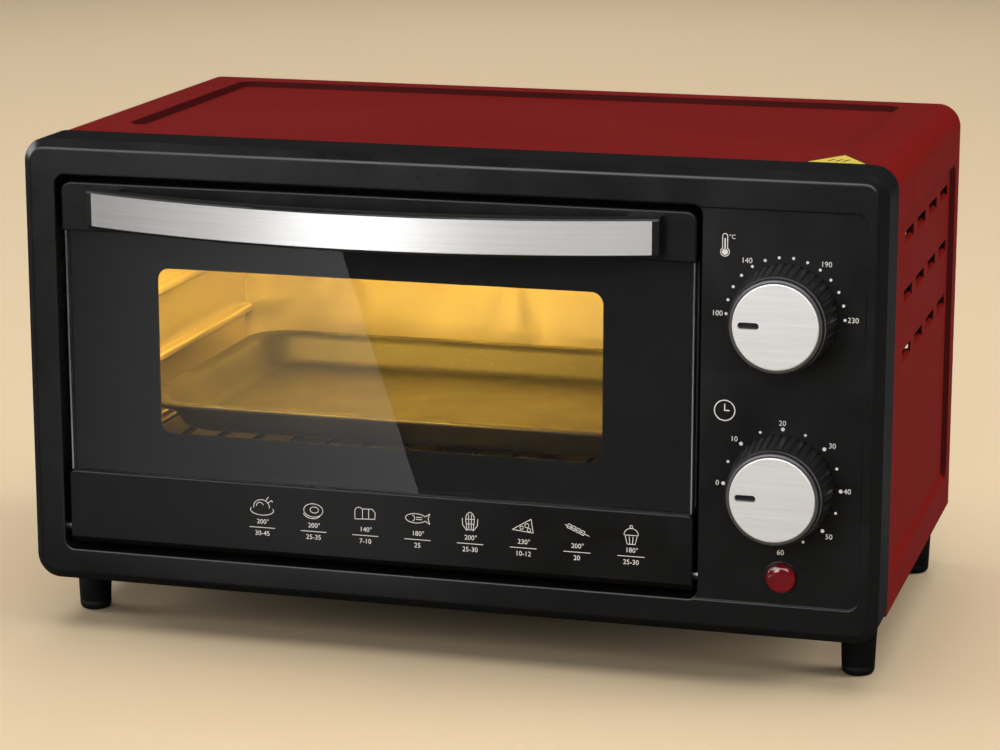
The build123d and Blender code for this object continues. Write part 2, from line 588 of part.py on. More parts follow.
def handle_screw_places():
    return (DOOR_MID - 113.6, DOOR_MID + 113.6)


def arc_depth(radius, x):
    """Depth at which an arc round the handle's centre of curvature lies, x from its middle."""
    centre = HANDLE_RADIUS - HANDLE_REACH
    return centre - math.sqrt(radius ** 2 - x ** 2)


def handle_blank():
    """Plan of the bowed bar, with a foot at each end that meets the top rail."""
    front, back = HANDLE_RADIUS - 0.2, HANDLE_RADIUS - HANDLE_THICK
    foot_inside = 107.0
    tip, root = arc_depth(front, HANDLE_HALF), arc_depth(back, foot_inside)
    outline = (
        ThreePointArc((-HANDLE_HALF, tip), (0, arc_depth(front, 0)), (HANDLE_HALF, tip))
        + Polyline((HANDLE_HALF, tip), (HANDLE_HALF, 0), (foot_inside, 0), (foot_inside, root))
        + ThreePointArc((foot_inside, root), (0, arc_depth(back, 0)), (-foot_inside, root))
        + Polyline((-foot_inside, root), (-foot_inside, 0), (-HANDLE_HALF, 0), (-HANDLE_HALF, tip))
    )
    solid = extrude(make_face(outline.edges()), amount=HANDLE_HIGH - HANDLE_LOW)
    return Pos(DOOR_MID, FRONT_Y, HANDLE_LOW) * solid


def handle_strip():
    """Brushed metal facing that follows the front of the bar."""
    front, back = HANDLE_RADIUS, HANDLE_RADIUS - STRIP_THICK
    x = STRIP_HALF
    outline = (
        ThreePointArc((-x, arc_depth(front, x)), (0, arc_depth(front, 0)), (x, arc_depth(front, x)))
        + Line((x, arc_depth(front, x)), (x, arc_depth(back, x)))
        + ThreePointArc((x, arc_depth(back, x)), (0, arc_depth(back, 0)), (-x, arc_depth(back, x)))
        + Line((-x, arc_depth(back, x)), (-x, arc_depth(front, x)))
    )
    strip = extrude(make_face(outline.edges()), amount=STRIP_HIGH - STRIP_LOW)
    return Pos(DOOR_MID, FRONT_Y, STRIP_LOW) * strip


def handle_bar():
    bar = handle_blank()
    long_edges = [e for e in bar.edges() if e.geom_type == GeomType.CIRCLE and e.length > 200
                  and e.center().Y < place(-18)]
    bar = fillet(long_edges, 1.6)
    bar -= handle_strip()
    for x in handle_screw_places():
        bar -= rod_y(-4.5, 1, x, HANDLE_SCREW_Z, 1.5)
    return bar


def handle_screws():
    return Compound(children=[screw_y(x, HANDLE_SCREW_Z, RAIL_WALL, -4.0, head_height=2.0)
                              for x in handle_screw_places()])


# ---- controls -------------------------------------------------------------------------------
def knob(z):
    """Hollow fluted knob with a hub for the shaft and a seat for the metal cap."""
    back, front = 0.3, -KNOB_REACH
    shoulder = -KNOB_REACH + 4.2
    body = cone_y(shoulder, back, KNOB_X, z, KNOB_FRONT_RADIUS + 0.4, KNOB_BASE_RADIUS)
    flutes = 40
    groove_radius = 0.75
    for i in range(flutes):
        a = 2 * math.pi * i / flutes
        reach = KNOB_BASE_RADIUS + 0.1
        near = reach - (KNOB_BASE_RADIUS - KNOB_FRONT_RADIUS - 0.4)
        foot = Vector(KNOB_X + reach * math.cos(a), place(back + 1), z + reach * math.sin(a))
        head = Vector(KNOB_X + near * math.cos(a), place(shoulder - 1), z + near * math.sin(a))
        line = head - foot
        body -= Plane(origin=foot, z_dir=line) * extrude(Circle(groove_radius), amount=line.length)
    ring = cone_y(front, shoulder, KNOB_X, z, KNOB_FRONT_RADIUS - 0.5, KNOB_FRONT_RADIUS + 0.4)
    body += fillet(edges_at_depth(ring, front), 1.4)
    body -= rod_y(front - 1, front + 1.2, KNOB_X, z, CAP_RADIUS + 0.1)
    body -= rod_y(front + 3.4, back + 1, KNOB_X, z, 16.6)
    body += rod_y(front + 3.0, back - 0.6, KNOB_X, z, 5.6)
    body -= rod_y(front + 4.6, back + 1, KNOB_X, z, SHAFT_RADIUS)
    return body


def knob_cap(z):
    """Brushed disc pressed into the knob, pierced by the pointer slot at nine o'clock."""
    front = -KNOB_REACH - 0.4
    cap = rod_y(front, -KNOB_REACH + 1.2, KNOB_X, z, CAP_RADIUS)
    cap = fillet(edges_at_depth(cap, front), 0.5)
    slot = sheet(KNOB_X - 14.8, KNOB_X - 6.4, z - 1.35, z + 1.35, front - 1, -KNOB_REACH + 2, 1.3)
    return cap - slot


def shaft(z, back):
    return rod_y(-KNOB_REACH + 4.6, back, KNOB_X, z, SHAFT_RADIUS)


def thermostat():
    half = 15.0
    body = block(KNOB_X - half, KNOB_X + half, 10, 27, TEMPERATURE_Z - half, TEMPERATURE_Z + half)
    body = fillet(body.edges().filter_by(Axis.Y), 3)
    body += rod_y(4.4, 10, KNOB_X, TEMPERATURE_Z, 4.8)
    for x in (-9, 9):
        body += block(KNOB_X + x - 3.1, KNOB_X + x + 3.1, 27, 36, TEMPERATURE_Z - 8.4, TEMPERATURE_Z - 7.6)
    body -= rod_y(2, 20, KNOB_X, TEMPERATURE_Z, SHAFT_RADIUS + RUNNING_GAP)
    for x, z in control_screw_places():
        body -= rod_y(9, 15, x, z, 1.5)
    return body


def timer():
    body = block(KNOB_X - 18, KNOB_X + 18, 10, 32, TIMER_Z - 22, TIMER_Z + 22)
    body = fillet(body.edges().filter_by(Axis.Y), 4)
    body += rod_y(4.4, 10, KNOB_X, TIMER_Z, 4.8)
    for x in (-9, 9):
        body += block(KNOB_X + x - 3.1, KNOB_X + x + 3.1, 32, 41, TIMER_Z + 15.6, TIMER_Z + 16.4)
    body -= rod_y(2, 20, KNOB_X, TIMER_Z, SHAFT_RADIUS + RUNNING_GAP)
    body -= rod_y(30, 33, KNOB_X, TIMER_Z - 4, 1.5)
    for x, z in control_screw_places():
        body -= rod_y(9, 15, x, z, 1.5)
    return body


def timer_bell():
    """Struck gong on a post behind the timer."""
    z = TIMER_Z - 4
    bell = rod_y(35, 43, KNOB_X, z, 14)
    bell = fillet(edges_at_depth(bell, 43), 6)
    bell -= rod_y(34, 41.5, KNOB_X, z, 7.6)
    bell -= rod_y(34, 38.5, KNOB_X, z, 12.8)
    return bell + rod_y(30, 43, KNOB_X, z, 1.5)


def control_bracket():
    plate = sheet(123, 174, 39, 199, 9, 10, 4)
    for x0 in (123, 173):
        plate += block(x0, x0 + 1, 3.9, 9.5, 43, 195)
    for z in (TEMPERATURE_Z, TIMER_Z):
        plate -= rod_y(8, 11, KNOB_X, z, 5.0)
    plate -= rod_y(3, 11, LAMP_X, LAMP_Z, 5.4)
    for x, z in control_screw_places():
        plate -= rod_y(8, 11, x, z, 1.6)
    return plate


def control_screw_places():
    spots = [(KNOB_X + s * 11, TEMPERATURE_Z + s * 11) for s in (-1, 1)]
    return spots + [(KNOB_X + s * 13, TIMER_Z + s * 17) for s in (-1, 1)]


def control_screws():
    return Compound(children=[screw_y(x, z, 9, 14, head_radius=2.6, head_height=1.6)
                              for x, z in control_screw_places()])


def lamp_lens():
    front = -2.4
    lens = rod_y(front, PANEL_RECESS, LAMP_X, LAMP_Z, LAMP_RADIUS)
    lens = fillet(edges_at_depth(lens, front), 1.9)
    return lens


def lamp_holder():
    holder = rod_y(PANEL_RECESS, 20, LAMP_X, LAMP_Z, 5.0)
    for x in (-2.5, 2.5):
        holder += rod_y(20, 28, LAMP_X + x, LAMP_Z, 0.6)
    return holder


def terminal_block():
    low = FOOT_TOP + SHEET
    body = block(134, 168, 160, 176, low, low + 12)
    body = fillet(body.edges().filter_by(Axis.Z), 1.5)
    for x in (140, 151, 162):
        body -= rod_z(low + 6, low + 13, x, 168, 2.6)
        body -= rod_y(150, 186, x, low + 4, 1.6)
    return body


def wire_run(points, radius):
    """Insulated lead along straight runs joined by bends."""
    corners = [Vector(x, place(d), z) for x, d, z in points]
    path = FilletPolyline(*corners, radius=4.0)
    plane = Plane(origin=path @ 0, z_dir=path % 0)
    return sweep(plane * Circle(radius), path=path)


def wiring():
    """Leads between the controls, the heaters and the terminal block."""
    low = FOOT_TOP + SHEET + 4
    t_z, m_z = TEMPERATURE_Z - 8, TIMER_Z + 16
    runs = [
        [(KNOB_X + 9, 36, t_z), (KNOB_X + 9, 60, t_z), (KNOB_X + 9, 60, 60), (162, 120, 60), (162, 150, low),
         (162, 159.5, low)],
        [(KNOB_X - 9, 36, t_z), (KNOB_X - 9, 50, t_z), (KNOB_X - 9, 50, m_z), (KNOB_X - 9, 41.3, m_z)],
        [(KNOB_X + 9, 41.3, m_z), (KNOB_X + 9, 78, m_z), (KNOB_X + 9, 90, 45), (151, 130, 45),
         (151, 150, low), (151, 159.5, low)],
    ]
    return Compound(children=[wire_run(points, 1.3) for points in runs])


def rear_screws():
    return Compound(children=[screw_y(x, z, BODY_DEPTH, BODY_DEPTH - 6) for x, z in rear_screw_places()])


# ---- write one file per piece ----------------------------------------------------------------
def all_pieces():
    pieces = {
        "front_frame": front_frame(),
        "outer_housing": outer_housing(),
        "base_plate": base_plate(),
        "rear_panel": rear_panel(),
        "cord_gland": cord_gland(),
        "foot_screws": foot_screws(),
        "rear_screws": rear_screws(),
        "inner_cavity": inner_cavity(),
        "heater_insulators": heater_insulators(),
        "wire_rack": wire_rack(),
        "baking_tray": baking_tray(),
        "crumb_tray": crumb_tray(),
        "heat_shield": heat_shield(),
        "door_top_rail": door_top_rail(),
        "door_bottom_rail": door_bottom_rail(),
        "door_glass": door_glass(),
        "glass_mask": glass_mask(),
        "door_inner_panel": door_inner_panel(),
        "door_panel_screws": door_panel_screws(),
        "handle_bar": handle_bar(),
        "handle_strip": handle_strip(),
        "handle_screws": handle_screws(),
        "temperature_knob": knob(TEMPERATURE_Z),
        "temperature_cap": knob_cap(TEMPERATURE_Z),
        "thermostat_shaft": shaft(TEMPERATURE_Z, 19.5),
        "timer_knob": knob(TIMER_Z),
        "timer_cap": knob_cap(TIMER_Z),
        "timer_shaft": shaft(TIMER_Z, 19.5),
        "thermostat": thermostat(),
        "timer": timer(),
        "timer_bell": timer_bell(),
        "control_bracket": control_bracket(),
        "control_screws": control_screws(),
        "lamp_lens": lamp_lens(),
        "lamp_holder": lamp_holder(),
        "terminal_block": terminal_block(),
        "wiring": wiring(),
    }
    for group in (hinge_pins(), hinge_brackets(), wall_spacers(), feet(), heaters(), rack_pull_arms()):
        pieces.update(group)
    return pieces


os.makedirs("parts", exist_ok=True)
for name, shape in all_pieces().items():
    export_step(shape, f"parts/{name}.step")
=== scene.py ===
import math

import bmesh
import bpy
from mathutils import Matrix, Vector


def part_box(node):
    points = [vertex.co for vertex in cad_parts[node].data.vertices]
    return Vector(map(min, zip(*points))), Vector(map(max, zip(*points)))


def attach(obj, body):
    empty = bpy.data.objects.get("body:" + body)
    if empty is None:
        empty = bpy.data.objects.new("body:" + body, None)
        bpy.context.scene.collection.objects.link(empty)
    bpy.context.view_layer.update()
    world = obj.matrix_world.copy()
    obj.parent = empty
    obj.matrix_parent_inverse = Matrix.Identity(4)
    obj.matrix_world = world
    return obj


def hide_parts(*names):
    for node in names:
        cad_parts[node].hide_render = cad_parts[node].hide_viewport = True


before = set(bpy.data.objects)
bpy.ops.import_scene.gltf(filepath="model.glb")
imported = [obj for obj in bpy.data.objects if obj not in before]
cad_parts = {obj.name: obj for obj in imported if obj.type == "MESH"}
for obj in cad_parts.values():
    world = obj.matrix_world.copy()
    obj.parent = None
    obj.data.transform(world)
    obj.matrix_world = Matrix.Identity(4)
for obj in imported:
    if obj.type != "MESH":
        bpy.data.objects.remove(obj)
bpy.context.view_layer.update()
MM = 0.001

# ---- Table, studio light and camera --------------------------------------------------
# The oven stands on a plain pale table that runs on behind it. Broad soft lights hang over it and
# before it, and pale cards that only show as reflections draw the gloss along its edges.
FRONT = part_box("front_frame")[0].y
TABLE_HALF = 9.0
table_mesh = bpy.data.meshes.new("table_top")
table_shape = bmesh.new()
bmesh.ops.create_grid(table_shape, x_segments=24, y_segments=24, size=TABLE_HALF)
table_shape.to_mesh(table_mesh)
table_shape.free()
table = bpy.data.objects.new("table_top", table_mesh)
table.location = (0, 3.0, -0.0002)
bpy.context.scene.collection.objects.link(table)


def open_material(name, colour=(0.5, 0.5, 0.5), roughness=0.5, metallic=0.0):
    """New material with its Principled shader; returns the material, its nodes, links and shader."""
    made = bpy.data.materials.new(name)
    made.use_nodes = True
    nodes, links = made.node_tree.nodes, made.node_tree.links
    shader = nodes["Principled BSDF"]
    shader.inputs["Base Color"].default_value = (*colour, 1)
    shader.inputs["Roughness"].default_value = roughness
    shader.inputs["Metallic"].default_value = metallic
    return made, nodes, links, shader


table_paper, nodes, links, shader = open_material("table_paper", (0.66, 0.515, 0.335), 0.85)
shader.inputs["Specular IOR Level"].default_value = 0.1
ray = nodes.new("ShaderNodeLightPath")
quiet = nodes.new("ShaderNodeBsdfDiffuse")
quiet.inputs["Color"].default_value = (0.055, 0.055, 0.055, 1)
seen = nodes.new("ShaderNodeMixShader")
fibre = nodes.new("ShaderNodeTexNoise")
fibre.inputs["Scale"].default_value = 3.0
tint = nodes.new("ShaderNodeMapRange")
tint.inputs["To Min"].default_value = 0.83
tint.inputs["To Max"].default_value = 0.87
links.new(fibre.outputs["Fac"], tint.inputs["Value"])
links.new(tint.outputs["Result"], shader.inputs["Roughness"])
links.new(ray.outputs["Is Glossy Ray"], seen.inputs["Fac"])
links.new(shader.outputs["BSDF"], seen.inputs[1])
links.new(quiet.outputs["BSDF"], seen.inputs[2])
links.new(seen.outputs["Shader"], nodes["Material Output"].inputs["Surface"])
table.data.materials.append(table_paper)


def soft_light(name, place, aim, width, height, power, colour=(1, 1, 1), shine=True):
    """Rectangular area light at place, turned to aim."""
    lamp = bpy.data.lights.new(name, "AREA")
    lamp.shape = "RECTANGLE"
    lamp.size, lamp.size_y = width, height
    lamp.energy = power
    lamp.color = colour
    lit = bpy.data.objects.new(name, lamp)
    lit.location = place
    lit.rotation_euler = (Vector(aim) - Vector(place)).to_track_quat("-Z", "Y").to_euler()
    bpy.context.scene.collection.objects.link(lit)
    lit.visible_camera = False
    lit.visible_glossy = shine


soft_light("overhead", (0.0, -0.3, 2.4), (0, 0, 0), 2.6, 2.2, 46, shine=False)
soft_light("front_wide", (0.2, -2.4, 1.3), (0, 0, 0.1), 2.4, 1.4, 26, shine=False)
soft_light("control_side", (2.3, 0.3, 0.9), (0.1, 0, 0.1), 1.4, 1.4, 46, shine=False)
soft_light("rear", (-0.6, 2.4, 1.5), (0, 0, 0.1), 1.6, 1.2, 18, shine=False)
soft_light("left_side", (-2.3, 0.1, 0.9), (-0.1, 0, 0.1), 1.4, 1.2, 20)


def mirror_card(name, corners, glow):
    """Pale studio card that is seen only in reflections; it lights nothing by itself."""
    shape = bmesh.new()
    shape.faces.new([shape.verts.new(p) for p in corners])
    mesh = bpy.data.meshes.new(name)
    shape.to_mesh(mesh)
    shape.free()
    paint = bpy.data.materials.new(name)
    paint.use_nodes = True
    paint.node_tree.nodes.clear()
    light = paint.node_tree.nodes.new("ShaderNodeEmission")
    light.inputs["Strength"].default_value = glow
    light.inputs["Color"].default_value = (1, 1, 1, 1)
    end = paint.node_tree.nodes.new("ShaderNodeOutputMaterial")
    paint.node_tree.links.new(light.outputs["Emission"], end.inputs["Surface"])
    mesh.materials.append(paint)
    card = bpy.data.objects.new(name, mesh)
    bpy.context.scene.collection.objects.link(card)
    card.visible_camera = card.visible_diffuse = card.visible_transmission = False
    card.visible_shadow = card.visible_volume_scatter = False
    return paint.node_tree


# a card lying before the oven to the left, which the pane shows as its paler half; it is brightest
# along its slanting edge and fades away to the left
CARD_NEAR, CARD_FAR, CARD_LEFT = -0.20, -1.24, -1.9
card = mirror_card("card_on_table", [(-0.03, CARD_NEAR, MM), (-0.45, CARD_FAR, MM), (CARD_LEFT, CARD_FAR, MM),
                                     (CARD_LEFT, CARD_NEAR, MM)], 1.0)
where = card.nodes.new("ShaderNodeTexCoord")
across = card.nodes.new("ShaderNodeVectorMath")
across.operation = "DOT_PRODUCT"
across.inputs[1].default_value = (-0.927, 0.375, 0.0)
fade = card.nodes.new("ShaderNodeMapRange")
fade.inputs["From Min"].default_value, fade.inputs["From Max"].default_value = -0.05, 0.15
fade.inputs["To Min"].default_value, fade.inputs["To Max"].default_value = 1.10, 0.12
card.links.new(where.outputs["Object"], across.inputs[0])
card.links.new(across.outputs["Value"], fade.inputs["Value"])
card.links.new(fade.outputs["Result"], card.nodes["Emission"].inputs["Strength"])
# a bright upright card for the middle of the bowed handle, and a high slanting one for the edges
mirror_card("card_upright", [(-0.92, -1.95, 0.25), (-0.27, -1.95, 0.25), (-0.27, -1.95, 1.5),
                             (-0.92, -1.95, 1.5)], 5.2)
mirror_card("card_high", [(-2.4, -1.9, 0.9), (1.4, -1.9, 0.9), (1.4, -1.2, 2.1), (-2.4, -1.2, 2.1)], 3.6)

room = bpy.data.worlds.new("studio_room")
room.use_nodes = True
nodes, links = room.node_tree.nodes, room.node_tree.links
ray = nodes.new("ShaderNodeLightPath")
seen = nodes.new("ShaderNodeMix")
seen.data_type = "RGBA"
seen.inputs["B"].default_value = (0.64, 0.49, 0.315, 1)
dim = nodes.new("ShaderNodeMix")
dim.data_type = "RGBA"
dim.inputs["A"].default_value = (0.12, 0.12, 0.12, 1)
dim.inputs["B"].default_value = (0.03, 0.03, 0.03, 1)
links.new(ray.outputs["Is Glossy Ray"], dim.inputs["Factor"])
links.new(dim.outputs["Result"], seen.inputs["A"])
links.new(ray.outputs["Is Camera Ray"], seen.inputs["Factor"])
links.new(seen.outputs["Result"], nodes["Background"].inputs["Color"])
bpy.context.scene.world = room
bpy.context.scene.view_settings.view_transform = "Standard"

lens = bpy.data.cameras.new("camera")
lens.lens, lens.sensor_width = 112.86, 36.0
lens.clip_start, lens.clip_end = 0.05, 60
DOWN, ROUND = 12.964, 15.804
camera = bpy.data.objects.new("camera", lens)
camera.location = (0.35906, -1.27412, 0.40511)
camera.rotation_euler = (math.radians(90 - DOWN), 0, math.radians(ROUND))
bpy.context.scene.collection.objects.link(camera)
bpy.context.scene.camera = camera

# ---- Front frame ---------------------------------------------------------------------
# One moulding of black heat-proof plastic with a fine satin texture. It is pushed over the front
# edge of the housing; its front corners are bevelled, and the control column is a shallow sink.


def new_group(name, takes, gives):
    """Empty shader group with named inputs (name, kind, value) and outputs (name, kind)."""
    group = bpy.data.node_groups.new(name, "ShaderNodeTree")
    for label, kind, value in takes:
        socket = group.interface.new_socket(label, in_out="INPUT", socket_type=kind)
        socket.default_value = value
    for label, kind in gives:
        group.interface.new_socket(label, in_out="OUTPUT", socket_type=kind)
    ends = group.nodes.new("NodeGroupInput"), group.nodes.new("NodeGroupOutput")
    return group, group.nodes, group.links, *ends


# fine_grain: the even speckle of a moulded or sprayed surface
grain_group, nodes, links, takes, gives = new_group(
    "fine_grain",
    [("Size", "NodeSocketFloat", 2500.0), ("Smudge Size", "NodeSocketFloat", 18.0)],
    [("Height", "NodeSocketFloat"), ("Smudge", "NodeSocketFloat")])
where = nodes.new("ShaderNodeTexCoord")
speckle = nodes.new("ShaderNodeTexNoise")
speckle.inputs["Detail"].default_value = 3.0
speckle.inputs["Roughness"].default_value = 0.6
smudge = nodes.new("ShaderNodeTexNoise")
smudge.inputs["Detail"].default_value = 5.0
smudge.inputs["Roughness"].default_value = 0.62
smudge.inputs["Distortion"].default_value = 0.6
links.new(where.outputs["Object"], speckle.inputs["Vector"])
links.new(where.outputs["Object"], smudge.inputs["Vector"])
links.new(takes.outputs["Size"], speckle.inputs["Scale"])
links.new(takes.outputs["Smudge Size"], smudge.inputs["Scale"])
links.new(speckle.outputs["Fac"], gives.inputs["Height"])
links.new(smudge.outputs["Fac"], gives.inputs["Smudge"])

# worn_edges: how far a point lies on a rounded-off corner, from the turned normal of a bevel
wear_group, nodes, links, takes, gives = new_group(
    "worn_edges",
    [("Width", "NodeSocketFloat", 0.0008), ("Amount", "NodeSocketFloat", 1.0)],
    [("Mask", "NodeSocketFloat"), ("Normal", "NodeSocketVector")])
rounded = nodes.new("ShaderNodeBevel")
rounded.samples = 4
surface = nodes.new("ShaderNodeNewGeometry")
agree = nodes.new("ShaderNodeVectorMath")
agree.operation = "DOT_PRODUCT"
turned = nodes.new("ShaderNodeMapRange")
turned.inputs["From Min"].default_value = 0.985
turned.inputs["From Max"].default_value = 0.80
patchy = nodes.new("ShaderNodeTexNoise")
patchy.inputs["Scale"].default_value = 160.0
patchy.inputs["Detail"].default_value = 4.0
broken = nodes.new("ShaderNodeMath")
broken.operation = "MULTIPLY"
scaled = nodes.new("ShaderNodeMath")
scaled.operation = "MULTIPLY"
scaled.use_clamp = True
links.new(takes.outputs["Width"], rounded.inputs["Radius"])
links.new(rounded.outputs["Normal"], agree.inputs[0])
links.new(surface.outputs["Normal"], agree.inputs[1])
links.new(agree.outputs["Value"], turned.inputs["Value"])
links.new(turned.outputs["Result"], broken.inputs[0])
links.new(patchy.outputs["Fac"], broken.inputs[1])
links.new(broken.outputs["Value"], scaled.inputs[0])
links.new(takes.outputs["Amount"], scaled.inputs[1])
links.new(scaled.outputs["Value"], gives.inputs["Mask"])
links.new(rounded.outputs["Normal"], gives.inputs["Normal"])


def place_group(nodes, group, **values):
    """Put a shader group in a material with its own values; _ in a name stands for a space."""
    node = nodes.new("ShaderNodeGroup")
    node.node_tree = group
    for label, value in values.items():
        node.inputs[label.replace("_", " ")].default_value = value
    return node


def spread(nodes, links, source, low, high, start=0.0, end=1.0):
    """Stretch a source's start..end to low..high; returns the output socket."""
    node = nodes.new("ShaderNodeMapRange")
    node.inputs["From Min"].default_value, node.inputs["From Max"].default_value = start, end
    node.inputs["To Min"].default_value, node.inputs["To Max"].default_value = low, high
    links.new(source, node.inputs["Value"])
    return node.outputs["Result"]


def blend_colours(nodes, links, factor, first, second):
    """Mix two colours, fixed ones or sockets, by a factor; returns the output socket."""
    node = nodes.new("ShaderNodeMix")
    node.data_type = "RGBA"
    for label, colour in (("A", first), ("B", second)):
        if isinstance(colour, tuple):
            node.inputs[label].default_value = (*colour, 1)
        else:
            links.new(colour, node.inputs[label])
    links.new(factor, node.inputs["Factor"])
    return node.outputs["Result"]


def raise_grain(nodes, links, shader, height, distance, strength=1.0, normal=None):
    """Bump from a height into the shader's normal."""
    node = nodes.new("ShaderNodeBump")
    node.inputs["Strength"].default_value = strength
    node.inputs["Distance"].default_value = distance
    links.new(height, node.inputs["Height"])
    if normal is not None:
        links.new(normal, node.inputs["Normal"])
    links.new(node.outputs["Normal"], shader.inputs["Normal"])


def grained_finish(name, colour, worn, roughness, speckle=2500.0, depth=0.00003, smudges=18.0,
                   edge=0.0006, wear=0.5, metallic=0.0):
    """Satin moulding or paint: speckle in the bump, smudges in the gloss, paler worn corners."""
    made, nodes, links, shader = open_material(name, colour, roughness, metallic)
    grain = place_group(nodes, grain_group, Size=speckle, Smudge_Size=smudges)
    corner = place_group(nodes, wear_group, Width=edge, Amount=wear)
    links.new(blend_colours(nodes, links, corner.outputs["Mask"], colour, worn), shader.inputs["Base Color"])
    links.new(spread(nodes, links, grain.outputs["Smudge"], roughness - 0.07, roughness + 0.09, 0.3, 0.7),
              shader.inputs["Roughness"])
    raise_grain(nodes, links, shader, grain.outputs["Height"], depth, 0.6, corner.outputs["Normal"])
    return made, nodes, links, shader


def dress(material, *names):
    """Give CAD nodes a finish."""
    for name in names:
        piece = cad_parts[name]
        piece.data.materials.clear()
        piece.data.materials.append(material)


frame_plastic, *_ = grained_finish("frame_plastic", (0.0055, 0.0055, 0.0056), (0.04, 0.04, 0.04), 0.29,
                                   speckle=1800.0, depth=0.00003)
dress(frame_plastic, "front_frame")

# ---- Outer housing -------------------------------------------------------------------
# One sheet of steel folded over the top and both sides, powder coated deep red after its fields
# and louvres are pressed. It slides under the front frame and is screwed to the back panel.
RED = (0.152, 0.0042, 0.0028)
red_coat, nodes, links, shader = grained_finish("red_coat", RED, (0.20, 0.014, 0.010), 0.46, speckle=900.0,
                                                depth=0.00005, smudges=7.0, edge=0.0012, wear=0.35)
shader.inputs["Specular IOR Level"].default_value = 0.25


def painted_shade_by_lean(lean_to):
    """Painted shade mask: 0 to 1 as the sheet leans more along an axis."""
    return spread(nodes, links, lean_to, 0.0, 1.0, 0.08, 0.30)


def two_way(kind, first, second):
    """Join two masks with a maths node of the given kind."""
    made = nodes.new("ShaderNodeMath")
    made.operation = kind
    links.new(first, made.inputs[0])
    links.new(second, made.inputs[1])
    return made.outputs["Value"]


# painted shade: the red turns near black where the sheet leans forwards or backwards, as on the walls of the
# pressed fields and on the louvres' flaps, and on walls that face right in the left half; it stands in for
# shade in these hollows and is not a colour of the coat
where = nodes.new("ShaderNodeTexCoord")
lean = nodes.new("ShaderNodeSeparateXYZ")
spot = nodes.new("ShaderNodeSeparateXYZ")
links.new(where.outputs["Normal"], lean.inputs["Vector"])
links.new(where.outputs["Object"], spot.inputs["Vector"])
left_half = spread(nodes, links, spot.outputs["X"], 1.0, 0.0, -0.01, 0.01)
front_back_shade = two_way("MAXIMUM", painted_shade_by_lean(lean.outputs["Y"]),
                        spread(nodes, links, lean.outputs["Y"], 1.0, 0.0, -0.30, -0.08))
painted_wall_shade = two_way("MAXIMUM", front_back_shade, two_way("MULTIPLY", painted_shade_by_lean(lean.outputs["X"]), left_half))
coat_colour = shader.inputs["Base Color"].links[0].from_socket
# painted shade colour: a near-black red blended in by the mask above
links.new(blend_colours(nodes, links, painted_wall_shade, coat_colour, (0.034, 0.0006, 0.0005)),
          shader.inputs["Base Color"])
dress(red_coat, "outer_housing")

# ---- Base plate, heat shield and brackets --------------------------------------------
# Zinc-coated steel sheet, cut and folded, with the crystal pattern of hot-dip zinc. The base
# carries the feet and the controls' shield; the brackets hold the hinge pins and the controls.
zinc_sheet, nodes, links, shader = open_material("zinc_sheet", (0.5, 0.51, 0.52), 0.4, 1.0)
where = nodes.new("ShaderNodeTexCoord")
crystals = nodes.new("ShaderNodeTexVoronoi")
crystals.inputs["Scale"].default_value = 130.0
grey = nodes.new("ShaderNodeSeparateColor")
grain = place_group(nodes, grain_group, Size=900.0, Smudge_Size=25.0)
links.new(where.outputs["Object"], crystals.inputs["Vector"])
links.new(crystals.outputs["Color"], grey.inputs["Color"])
links.new(blend_colours(nodes, links, grey.outputs["Red"], (0.40, 0.41, 0.43), (0.62, 0.63, 0.65)),
          shader.inputs["Base Color"])
links.new(spread(nodes, links, grey.outputs["Green"], 0.30, 0.52), shader.inputs["Roughness"])
raise_grain(nodes, links, shader, grain.outputs["Smudge"], 0.0002, 0.4)
dress(zinc_sheet, "base_plate", "heat_shield", "hinge_bracket_left", "hinge_bracket_right",
      "control_bracket", "rack_arm_left", "rack_arm_right")

# ---- Back panel, cord gland and wall spacers -----------------------------------------
# The back is a thin steel plate painted black, with a raised field and cooling slots. The gland
# and the two wall spacers are moulded in black nylon and snap into the plate.
back_paint, *_ = grained_finish("back_paint", (0.016, 0.016, 0.016), (0.10, 0.10, 0.10), 0.47,
                                speckle=1100.0, depth=0.00006, edge=0.0007, wear=0.5)
dress(back_paint, "rear_panel")
nylon_black, *_ = grained_finish("nylon_black", (0.013, 0.013, 0.013), (0.04, 0.04, 0.04), 0.55,
                                 speckle=1500.0, depth=0.00005)
dress(nylon_black, "cord_gland", "wall_spacer_left", "wall_spacer_right")

# ---- Screws, pins and shafts ---------------------------------------------------------
# Screws, hinge pins and control shafts, turned or rolled from plain steel and lightly oiled, so
# their gloss drifts in soft patches. They are driven into the sheet parts and the mouldings.


def mottled(name, first, second, gloss, size, smudges, metallic=1.0, bump=None, strength=0.4,
            mottle=(0.3, 0.7)):
    """Colour and roughness (least, most) that drift in soft patches, over a grain if bump is given."""
    made, nodes, links, shader = open_material(name, first, gloss[0], metallic)
    grain = place_group(nodes, grain_group, Size=size, Smudge_Size=smudges)
    patches = grain.outputs["Smudge"]
    links.new(blend_colours(nodes, links, patches, first, second), shader.inputs["Base Color"])
    links.new(spread(nodes, links, patches, *gloss, *mottle), shader.inputs["Roughness"])
    if bump:
        raise_grain(nodes, links, shader, grain.outputs["Height"], bump, strength)
    return made


bare_steel = mottled("bare_steel", (0.36, 0.36, 0.37), (0.60, 0.60, 0.60), (0.24, 0.45), 2200.0, 180.0,
                     bump=0.00003, strength=0.5)
dress(bare_steel, "foot_screws", "rear_screws", "door_panel_screws", "handle_screws", "control_screws",
      "hinge_pin_left", "hinge_pin_right", "thermostat_shaft", "timer_shaft")

